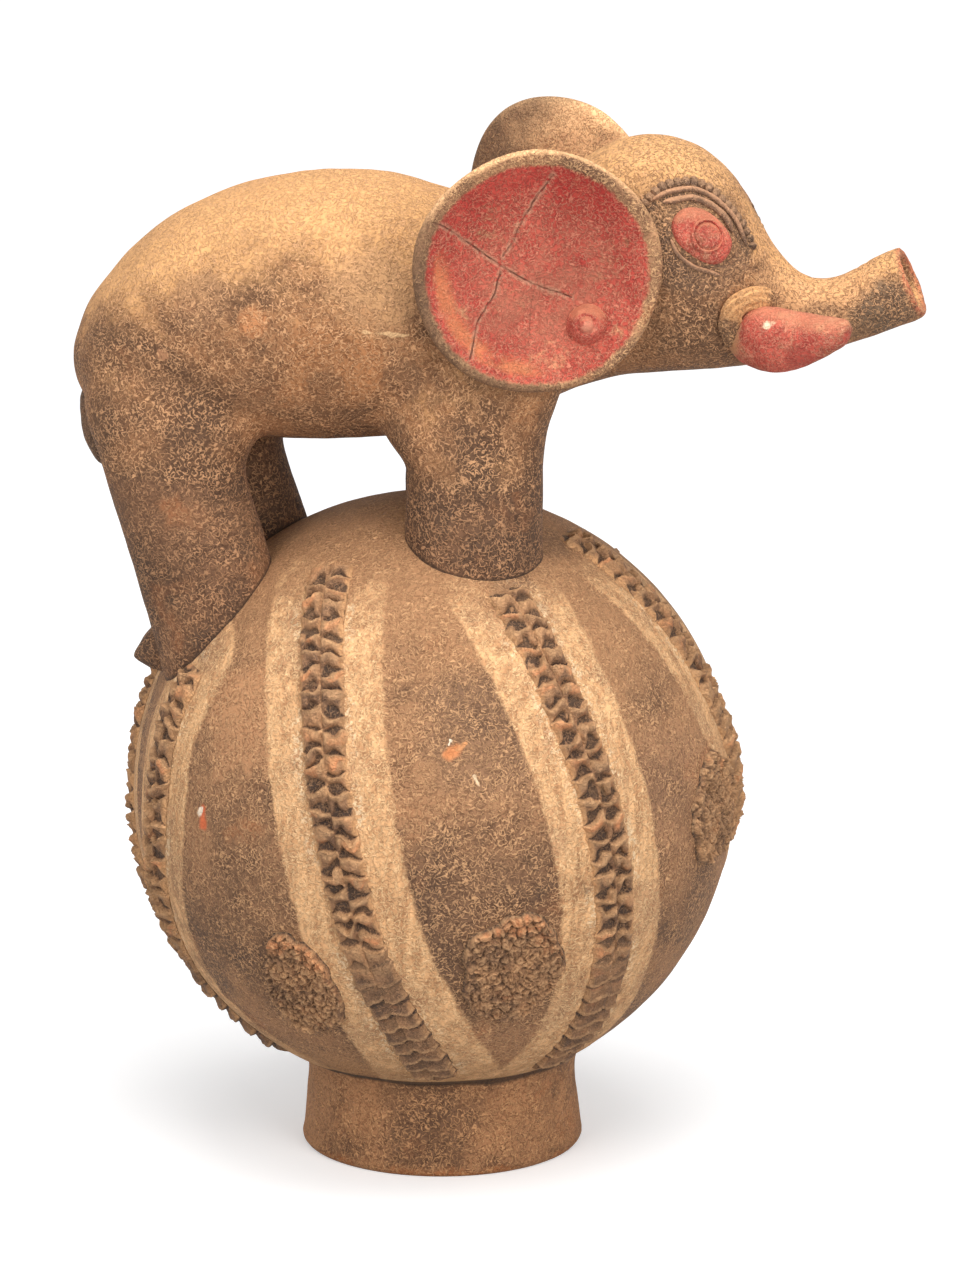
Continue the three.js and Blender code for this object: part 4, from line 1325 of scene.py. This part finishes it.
# Blots: place in the vessel's own measure, reach, shade and strength
ELEPHANT_BLOTS = [
    ((-27, -69, 499), 26, (206, 158, 112), 0.55), ((-91, -72, 483), 9, (216, 146, 96), 0.6),
    ((-142, -66, 462), 4, (206, 148, 108), 0.5), ((-45, -70, 462), 30, (186, 126, 80), 0.5),
    ((-177, -50, 443), 34, (96, 70, 52), 0.35), ((-92, -66, 440), 16, (98, 72, 54), 0.5),
    ((-52, -69, 446), 13, (96, 70, 52), 0.5), ((-10, -67, 452), 13, (98, 72, 54), 0.5),
    ((-121, -65, 493), 18, (148, 112, 84), 0.5), ((123, -48, 470), 34, (130, 97, 70), 0.25),
    ((225, -18, 495), 26, (226, 172, 122), 0.6), ((196, -24, 500), 20, (222, 168, 120), 0.5),
    ((249, -20, 487), 17, (104, 86, 70), 0.8), ((240, -20, 478), 15, (108, 88, 70), 0.7),
    ((216, -20, 478), 16, (126, 96, 72), 0.55),
]
FOOT_BLOTS = [((-72, -30, 30), 32, (190, 138, 98), 0.55), ((0, -78, 45), 26, (98, 70, 51), 0.5)]

# The same with a place on the head, for both sides
EYE_BLOTS = [((150, 32), 21, (104, 81, 64), 0.4)]
FOLD_BLOTS = [((174, -14), 15, (226, 168, 112), 0.6), ((168, -42), 13, (110, 82, 61), 0.85),
              ((164, -28), 8, (110, 82, 61), 0.85)]

# Blots on the red pieces, with how ragged each one is
RED_BLOTS = [
    ((165, -34, 476), 13, (196, 146, 106), 0.8, 0.5), ((205, -57, 469), 8, (140, 50, 44), 0.5, 1.0),
    ((187, -53, 486), 3.0, (246, 224, 190), 0.95, 0.6),
    ((190, -53.5, 487.5), 2.2, (240, 206, 170), 0.9, 0.6),
]

# Blots on the globe: longitude and latitude, reach, shade and strength
GLOBE_BLOTS = [
    ((36, 54), 16, (104, 78, 60), 0.55), ((69, 65), 18, (104, 78, 60), 0.55),
    ((14, -8), 46, (96, 70, 53), 0.62), ((18, 26), 40, (122, 92, 70), 0.55),
    ((-30, -8), 30, (112, 82, 60), 0.25), ((62, 10), 40, (178, 132, 98), 0.4),
    ((-33, 26), 36, (208, 152, 108), 0.6), ((52, -32), 30, (192, 142, 96), 0.5),
]

# Chips and scratches on the globe: start, end, width and shade
GLOBE_CHIPS = [
    ((10.9, 22.5), (12.3, 23.0), 4.6, (222, 142, 90)),
    ((12.6, 23.1), (14.4, 24.2), 1.5, (214, 150, 100)),
    ((10.9, 24.3), (11.3, 24.8), 0.9, (244, 226, 200)),
    ((15.9, 18.2), (16.8, 16.4), 1.0, (238, 206, 168)),
    ((-41.7, 6.4), (-41.3, 3.8), 4.2, (220, 112, 70)),
    ((-42.4, 6.6), (-42.4, 5.4), 2.2, (250, 232, 208)),
]


def elephant_finish():
    """Brown fired clay, golden on every upper surface by painted top light, sooty about the eyes and
    below the trunk, with painted shade low on the body.
    """
    finish = Finish("elephant_clay")
    n = finish.nodes
    colour = finish.clay((108, 76, 53), (172, 121, 82), (244, 186, 125), (226, 172, 126),
                         top=0.8, patch_size=0.06, grain_size=0.0034)
    parts = n.parts(finish.place)
    # Painted shade: the body darkens towards its underside and round the tops of the legs
    stubs = n.plus(parts["Z"], n.stray(finish.patches["Cloud"], 0.03))
    colour = n.over(colour, (94, 68, 50), n.step(stubs, 0.45, 0.39, 0.0, 0.9))
    colour = finish.blots(colour, ELEPHANT_BLOTS, lambda place: at(*place))
    colour = finish.head_blots(colour, EYE_BLOTS)
    colour, pores = eye_pores(finish, colour)
    colour = brow_shade(finish, colour)
    mouth, facing = row_plane(MOUTH_ROW)
    depth = n.vector("DOT_PRODUCT", finish.place, tuple(facing), "Value")
    lip = n.step(n.sum("SUBTRACT", depth, mouth.dot(facing)), -0.0045, -0.0012)
    colour = n.over(colour, (206, 116, 84), lip, n.step(finish.patches["Cloud"], 0.0, 0.4), 0.8)
    colour = finish.speckle(colour, 0.8, 0.9)
    scaly = n.step(parts["X"], at(70, 0, 0).x, at(120, 0, 0).x)
    colour = n.over(colour, (86, 62, 46), finish.grain["Pit"], scaly, 0.4)
    pale = n.sum("MAXIMUM", finish.scratch(at(-33, -71.6, 479.5), at(-6, -70, 478), 1.4),
                 finish.scratch(at(-15, -46, 425), at(-12, -43, 417), 1.1))
    colour = n.over(colour, (238, 194, 144), pale, 0.8)
    relief = n.plus(finish.grain["Relief"], n.times(pale, 0.5))
    return finish.done(colour, relief=n.sum("SUBTRACT", relief, n.times(pores, 0.6)))


def brow_shade(finish, colour):
    """Painted shade in the grooves between the ridges over both eyes."""
    n = finish.nodes
    ridges = [[seat(place, side)[0] for place in BROW_OUTER] for side in SIDES]
    groove = n.step(n.line_gap(finish.place, ridges), 0.0062, 0.0035)
    # Painted shade along the grooves
    return n.over(colour, (78, 60, 50), groove, 0.65)


def eye_pores(finish, colour):
    """Small pressed scales round both eyes, dark between."""
    n = finish.nodes
    nearest = n.sum("MINIMUM", *(n.gap(finish.place, seat(EYE_MIDDLE, side)[0]) for side in SIDES))
    ragged = n.plus(nearest, n.stray(n.noise(finish.place, 0.012), 0.018))
    ring = n.times(n.step(ragged, 0.036, 0.028), n.step(nearest, 0.014, 0.018))
    cells = n.add("ShaderNodeTexVoronoi", {"Vector": finish.place, "Scale": 1 / 0.003},
                  feature="DISTANCE_TO_EDGE").outputs["Distance"]
    pores = n.times(n.step(cells, 0.2, 0.03), ring)
    colour = n.over(colour, (134, 106, 86), ring, 0.35)
    return n.over(colour, (78, 60, 50), pores, 0.35), pores


def leg_finish():
    """Darker clay of the legs, with a painted contact shadow along the line where they meet the globe.
    """
    finish = Finish("leg_clay")
    n = finish.nodes
    colour = finish.clay((84, 61, 45), (121, 86, 62), (156, 114, 80), (198, 149, 109),
                         top=0.6, patch_size=0.06, grain_size=0.0034)
    above = n.sum("SUBTRACT", n.gap(finish.place, GLOBE_MIDDLE), GLOBE_RADIUS * MM)
    # The legs darken in cloudy patches near the globe
    sooty = n.times(n.step(above, 0.045, 0.004), n.step(finish.patches["Cloud"], 0.9, 0.2))
    colour = finish.speckle(n.over(colour, (84, 62, 48), sooty, 0.5))
    # Painted contact shadow where the legs meet the globe
    return finish.done(n.over(colour, (60, 44, 34), n.step(above, 0.0022, 0.0006), 0.75))


def foot_finish():
    """Foot clay: dark, wiped, and worn to orange on its resting edge."""
    finish = Finish("foot_clay")
    n = finish.nodes
    colour = finish.clay((112, 79, 56), (172, 122, 84), (180, 132, 92), (206, 154, 108),
                         top=0.3, patch_size=0.045, grain_size=0.0033)
    colour = finish.blots(colour, FOOT_BLOTS, lambda place: at(*place))
    ragged = n.plus(n.parts(finish.place)["Z"], n.stray(finish.patches["Cloud"], 0.008))
    colour = n.over(colour, (182, 116, 70), n.step(ragged, 0.004, 0.0), 0.6)
    # Painted shadow at the top of the foot, under the globe
    return finish.done(finish.seam(finish.speckle(colour), 0.006, 0.0515, 0.054, 0.85))


def on_globe(longitude, latitude):
    return GLOBE_MIDDLE + globe_direction(longitude, latitude) * GLOBE_RADIUS * MM


def globe_slip(finish):
    """Pale slip, brushed upright, greyed in places and crusted beside the ribs."""
    n = finish.nodes
    brushed = n.noise(n.move(finish.place, stretch=(1, 1, 0.12)), 0.006, 3.0, 0.6)
    slip = n.mix(n.step(brushed, 0.35, 0.65), (190, 141, 99), (236, 184, 133))
    greyed = n.step(n.noise(n.move(finish.place, (5, 2, 9)), 0.04, 3.0), 0.52, 0.64)
    slip = n.over(slip, (170, 128, 95), greyed, 0.5)
    slip = n.mix(n.times(finish.grain["Pit"], 0.45), slip, PIT_SHADE, "MULTIPLY")
    slip = n.over(slip, (250, 208, 158), finish.grain["Fibre"], 0.6)
    crusted = n.step(n.noise(finish.place, 0.03), 0.46, 0.58)
    flakes = n.step(n.noise(n.move(finish.place, (3, 7, 1)), 0.0028, 3.0, 0.6, 1.0), 0.52, 0.58)
    beside = n.step(n.attribute("rib_gap"), 0.021, 0.016)
    return n.over(slip, (250, 222, 182), beside, flakes, crusted, 0.6)


def globe_finish():
    """Mottled brown panels between bands of pale slip that run beside every rib."""
    finish = Finish("globe_clay")
    n = finish.nodes
    height = n.parts(finish.place)["Z"]
    panel = finish.clay((102, 74, 54), (162, 118, 84), (176, 130, 92), (214, 165, 120),
                        top=0.8, patch_size=0.06, grain_size=0.0034)
    panel = finish.speckle(finish.blots(panel, GLOBE_BLOTS, lambda place: on_globe(*place)))
    wander = n.noise(finish.place, 0.014, 3.0)
    fray = n.noise(finish.place, 0.0035, 3.0)
    reach = n.plus(n.attribute("band"), n.stray(wander, 0.16), n.stray(fray, 0.06))
    faded = n.step(n.plus(height, n.stray(wander, 0.05)), 0.35, 0.32)
    rubbed = n.step(n.noise(finish.place, 0.045, 5.0, 0.7), 0.3, 0.46)
    band = n.times(n.step(reach, 1.06, 0.96), faded, n.plus(0.35, n.times(rubbed, 0.65)))
    colour = n.mix(band, panel, globe_slip(finish))
    wiped = n.noise(n.move(finish.place, stretch=(1, 1, 9)), 0.03, 3.0)
    colour = n.over(colour, (196, 148, 102), n.step(height, 0.085, 0.06),
                    n.step(wiped, 0.4, 0.6), 0.6)
    for start, end, width, shade in GLOBE_CHIPS:
        chip = finish.scratch(on_globe(*start), on_globe(*end), width)
        colour = n.over(colour, shade, chip, 0.95)
    # Painted shadow along the bottom of the globe, where it meets the foot
    return finish.done(finish.seam(colour, 0.003, 0.0582, 0.0565, 0.9))


def relief_finish():
    """Dark pinched relief with pale crests that are partly painted highlight, soot and painted shade in
    its hollows, flanks worn back to orange clay and smeared edges.
    """
    finish = Finish("pinched_clay")
    n = finish.nodes
    colour = finish.clay((116, 86, 66), (180, 134, 96), (204, 154, 110), (206, 158, 118),
                         top=0.6, patch_size=0.02, grain_size=0.003)
    uneven = n.step(finish.patches["Cloud"], 0.0, 0.5)
    colour = n.over(colour, (226, 140, 90), n.attribute("worn"), uneven, 0.9)
    # shade: soot and painted shade in hollows, painted shadow under laps; crest: partly painted
    # highlight
    for name, shade, strength in (("slip", (220, 168, 118), 0.75), ("shade", (54, 43, 38), 0.9),
                                  ("crest", (214, 168, 122), 0.5)):
        colour = n.over(colour, shade, n.attribute(name), strength)
    return finish.done(finish.speckle(colour, 0.4, 0.4))


def dark_finish():
    """Sooty clay of small pieces such as the tail and the pinched row over the brow."""
    finish = Finish("sooty_clay")
    colour = finish.clay((88, 68, 56), (128, 98, 77), (190, 146, 110), (200, 158, 122),
                         top=0.6, patch_size=0.02, grain_size=0.0026)
    return finish.done(finish.speckle(colour, 0.6))


def brow_finish():
    """Finer clay of the ridges round the eye."""
    finish = Finish("brow_clay")
    colour = finish.clay((100, 76, 60), (140, 105, 82), (200, 150, 114), (206, 158, 122),
                         top=0.9, patch_size=0.02, grain_size=0.0024)
    return finish.done(finish.speckle(colour, 0.5, 0.45), depth=0.0006)


def red_layer(finish, clay, deep, bright, cover):
    """Worn red pigment over clay."""
    n = finish.nodes
    worn = n.noise(n.move(finish.place, (2, 5, 8)), 0.02, 5.0, 0.68, 0.4)
    pigment = n.mix(finish.patches["Cloud"], deep, bright)
    pigment = n.over(pigment, (122, 44, 38), finish.grain["Pit"], 0.65)
    pigment = n.over(pigment, (220, 146, 120), finish.grain["Fibre"], 0.5)
    share = n.step(worn, cover + 0.16, cover - 0.06)
    return n.over(finish.speckle(clay), pigment, share, 0.92)


def red_finish():
    """Red pigment of eyes and tusks, rubbed back to pale clay on the upper sides."""
    finish = Finish("red_pigment")
    n = finish.nodes
    clay = finish.clay((150, 100, 74), (184, 128, 98), (224, 160, 120), (226, 172, 140),
                       top=0.6, patch_size=0.02, grain_size=0.0026)
    colour = red_layer(finish, clay, (156, 54, 46), (202, 88, 74), 0.54)
    uneven = n.stray(n.noise(finish.place, 0.014, 4.0, 0.65), 0.9)
    bare = n.step(n.plus(finish.upward, uneven), 0.25, 0.75)
    colour = n.over(colour, (218, 144, 108), bare, 0.55)
    colour = finish.blots(colour, RED_BLOTS, lambda place: at(*place))
    for side in SIDES:
        tip = ear_frame(side) @ (boss_spot(side) + UP * 10.5 * MM)
        colour = finish.blot(colour, tip, 4.5, (222, 150, 122), 0.6, 0.8)
    return finish.done(colour, depth=0.0008)


def ear_finish():
    """Red dish inside a bare clay rim, with cracks, painted light in gold along its lower back edge and
    painted shade on the dish's upper wall and the rim's lower back.
    """
    finish = Finish("ear_pigment")
    n = finish.nodes
    clay = finish.clay((126, 92, 68), (180, 132, 96), (250, 196, 144), (228, 178, 130),
                       top=1.0, patch_size=0.04, grain_size=0.0031)
    x, y, facing = n.parts(n.attribute("ear_plane", "Vector"))
    flat = n.flat_place(x, y)
    radius = n.vector("LENGTH", flat, output="Value")
    ragged = n.noise(finish.place, 0.012, 3.0)
    fray = n.noise(finish.place, 0.003)
    off_middle = n.plus(radius, n.stray(ragged, 0.05), n.stray(fray, 0.04), n.times(y, 0.03))
    front = n.step(facing, -0.1, 0.1)
    painted = n.times(n.step(off_middle, 0.915, 0.875), front)
    colour = red_layer(finish, clay, (162, 48, 42), (196, 80, 68), 0.6)
    # Dust and painted light: a paler, duller red that grows towards the lower side of the dish
    dust_and_light = n.step(n.plus(n.times(y, -0.8), n.times(x, 0.3)), -0.5, 0.3, 0.15, 0.6)
    colour = n.over(colour, (178, 112, 88), n.step(radius, 0.86, 0.4), n.step(ragged, 0.3, 0.6), dust_and_light)
    # Painted shade: deeper red on the upper wall of the dish
    colour = n.over(colour, (176, 48, 44), n.step(y, 0.2, 0.75), n.step(radius, 0.5, 0.8), 0.4)
    # Painted light: gold on the dish's lower back wall, near the rim
    lower_back = n.plus(n.times(x, -0.75), n.times(y, -0.66))
    golden = n.times(n.step(lower_back, 0.42, 0.64), n.step(off_middle, 0.66, 0.76),
                     n.step(off_middle, 0.86, 0.8),
                     n.step(n.noise(finish.place, 0.016, 4.0), 0.26, 0.44))
    colour = n.over(colour, (214, 134, 88), golden, 0.62)
    # Painted shade on the rim's lower back edge
    rim = n.over(finish.speckle(clay), (88, 66, 50), n.step(lower_back, 0.1, 0.7, 0.0, 0.55))
    colour = n.mix(painted, rim, colour)
    gap = crack_gap(n, flat, CRACKS)
    dark = n.times(n.step(gap, 0.009, 0.00315), front)
    faint = n.times(n.step(crack_gap(n, flat, FAINT_CRACKS), 0.008, 0.0028), front)
    halo = n.times(n.step(gap, 0.04, 0.012), painted, n.step(fray, 0.38, 0.55))
    colour = n.over(colour, (196, 146, 118), halo, 0.6)
    colour = n.over(colour, (120, 70, 54), faint, 0.5)
    broken = n.step(n.noise(finish.place, 0.008), 0.38, 0.58, 0.25, 0.8)
    colour = n.over(colour, (96, 54, 42), dark, broken)
    relief = n.sum("SUBTRACT", finish.grain["Relief"], n.times(dark, 0.9))
    return finish.done(colour, relief=relief)


def crack_gap(n, flat, cracks):
    """Distance from the nearest of several cracks on the ear's plane."""
    wobble = n.noise(flat, 0.16, 3.0)
    shift = n.flat_place(n.stray(wobble, 0.05), n.stray(wobble, -0.05))
    return n.line_gap(n.vector("ADD", flat, shift),
                      [[(*place, 0) for place in crack] for crack in cracks])


def fold_finish():
    """Clay of the fold over the tusk's root, golden by painted top light, paler at its top and darker
    at its lower ends.
    """
    finish = Finish("fold_clay")
    colour = finish.clay((112, 80, 57), (170, 122, 83), (238, 178, 120), (224, 172, 124),
                         top=1.0, patch_size=0.016, grain_size=0.0034)
    return finish.done(finish.speckle(finish.head_blots(colour, FOLD_BLOTS)))


# Pieces


def piece(node, bm, material):
    """Finished piece that stands for one node of the frame."""
    mesh = mesh_of(f"fired_{node}", bm)
    mesh.polygons.foreach_set("use_smooth", [True] * len(mesh.polygons))
    mesh.set_sharp_from_angle(angle=math.radians(SHARP_ANGLE))
    thing = placed(f"fired_{node}", mesh)
    mesh.materials.append(material)
    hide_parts(node)
    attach(thing, "root")


def elephant_pieces(skin, globe_tool, brown, leg_clay):
    """Body, head, trunk and legs, cut from one skin."""
    neck, joint = at(NECK_FORWARD, 0, 0), at(0, 0, LEG_JOINT)
    trunk_point, trunk_normal = row_plane(TRUNK_ROW)
    for name, planes in (
            ("elephant_body", [(joint, -UP), (neck, FORWARD)]),
            ("head", [(joint, -UP), (neck, -FORWARD), (trunk_point, trunk_normal)]),
            ("trunk_spout", [(trunk_point, -trunk_normal), row_plane(MOUTH_ROW)])):
        piece(name, cut_out(skin, *planes), brown)
    keep_side(skin, joint, UP)
    waist = at(WAIST_FORWARD, 0, 0)
    for name, (_, side, _) in LEGS.items():
        rear = "rear" in name
        leg = skin.copy()
        keep_wanted(leg, lambda spot: (spot.y - waist.y) * side > 0 and (spot.x < waist.x) == rear)
        piece(name, carved(leg, globe_tool), leg_clay)
    skin.free()


def build_vessel():
    brown, leg_clay, red = elephant_finish(), leg_finish(), red_finish()
    relief, sooty, fold, brow = relief_finish(), dark_finish(), fold_finish(), brow_finish()
    hollow = working_object(hollow_shape())
    skin = elephant_skin()
    press = working_object(skin.copy())
    skin = carved(skin, hollow)
    globe = globe_shell(hollow)
    globe_tool = working_object(ball(144, 80, (GLOBE_RADIUS - GLOBE_INSET) * MM, GLOBE_MIDDLE))
    elephant_pieces(skin, globe_tool, brown, leg_clay)
    piece("globe", globe, globe_finish())
    piece("foot_ring", carved(foot_ring(), globe_tool), foot_finish())
    for index in range(len(RIBS)):
        piece(f"rib_{index + 1}", pinched_rib(index), relief)
    for index in range(len(ROUNDELS)):
        piece(f"roundel_{index + 1}", roundel(index), relief)

    painted = ear_finish()
    for side, word in SIDES.items():
        for name, bm, material, slot in (
                ("ear", carved(ear(side), press), painted, "red_pigment"),
                ("ear_boss", ear_boss(side), red, "red_pigment"),
                ("eye", carved(eye(side), press), red, "red_pigment"),
                ("pupil", pupil(side), red, "dark_relief"),
                ("tusk", carved(tusk(side), press), red, "red_pigment"),
                ("tusk_fold", laid_bar(FOLD, FOLD_RADIUS, side, 0.4, 0.07, 96, 120), fold, "pale_slip"),
                ("brow_outer", laid_bar(BROW_OUTER, OUTER_BROW_RADIUS, side), brow, "brown_clay"),
                ("brow_inner", laid_bar(BROW_INNER, INNER_BROW_RADIUS, side), brow, "brown_clay"),
                ("brow_notched", notched_row(side), sooty, "dark_relief"),
                ("lid", laid_bar(LID, LID_RADIUS, side), brow, "brown_clay"),
                ("heel_rear", heel(side), leg_clay, "brown_clay")):
            piece(f"{name}_{word}", bm, material)
    piece("tail", carved(tail(), press), sooty)
    for tool in (hollow, press, globe_tool):
        discard(tool)


# Stage


def seen_ray(n):
    """Whether a ray comes from the camera, or by way of a gloss or through a clear thing."""
    rays = n.add("ShaderNodeLightPath").outputs
    direct = n.sum("MAXIMUM", rays["Is Camera Ray"], rays["Is Glossy Ray"])
    return n.sum("MAXIMUM", direct, rays["Is Transmission Ray"])


def floor_material():
    """White floor that keeps the vessel's soft shadow and throws little light up at its belly."""
    material = bpy.data.materials.new("studio_floor")
    material.use_nodes = True
    n = Nodes(material.node_tree)
    shader = material.node_tree.nodes["Principled BSDF"]
    output = material.node_tree.nodes["Material Output"]
    for label, value in (("Base Color", FLOOR_SHADE), ("Roughness", 0.9),
                         ("Specular IOR Level", 0.0)):
        n.feed(shader.inputs[label], value)
    place = n.add("ShaderNodeTexCoord").outputs["Object"]
    away = n.vector("LENGTH", place, output="Value")
    glow = n.add("ShaderNodeEmission", {"Color": (1, 1, 1, 1), "Strength":
                                        n.step(away, 0.5, 4.0, FLOOR_GLOW, FAR_GLOW)})
    dim = n.add("ShaderNodeBsdfDiffuse", {"Color": FLOOR_DIM})
    both = n.add("ShaderNodeAddShader", {0: shader.outputs[0], 1: glow.outputs[0]})
    seen = n.add("ShaderNodeMixShader", {0: seen_ray(n), 1: dim.outputs[0], 2: both.outputs[0]})
    n.feed(output.inputs["Surface"], seen.outputs[0])
    return material


def studio():
    bm = bmesh.new()
    bmesh.ops.create_grid(bm, x_segments=8, y_segments=8, size=12)
    mesh = mesh_of("floor", bm)
    floor = placed("floor", mesh)
    mesh.materials.append(floor_material())

    world = bpy.data.worlds.new("studio")
    bpy.context.scene.world = world
    world.use_nodes = True
    n = Nodes(world.node_tree)
    ground = world.node_tree.nodes["Background"]
    n.feed(ground.inputs["Strength"], n.step(seen_ray(n), 0.0, 1.0, 0.5, 1.0))
    n.feed(ground.inputs["Color"], (1, 1, 1, 1))

    for name, place, size, power in LAMPS:
        lamp(name, place, size, power)


def lamp(name, place, size, power):
    """Soft square lamp that faces the vessel's middle."""
    light = bpy.data.lights.new(name, "AREA")
    light.size = size
    light.energy = power
    light.color = LAMP_TINT
    thing = placed(name, light)
    thing.location = at(*place)
    aim = at(0, 0, 300) - thing.location
    thing.rotation_euler = aim.to_track_quat("-Z", "Y").to_euler()


def camera():
    data = bpy.data.cameras.new("camera")
    data.lens = CAMERA_LENS
    data.sensor_width = CAMERA_SENSOR
    thing = placed("camera", data)
    thing.location = at(*CAMERA_SPOT)
    thing.rotation_euler = (math.radians(90 - CAMERA_DIP), 0, math.radians(CAMERA_TURN))
    bpy.context.scene.camera = thing


camera()
build_vessel()
studio()
bpy.context.scene.view_settings.view_transform = "Standard"
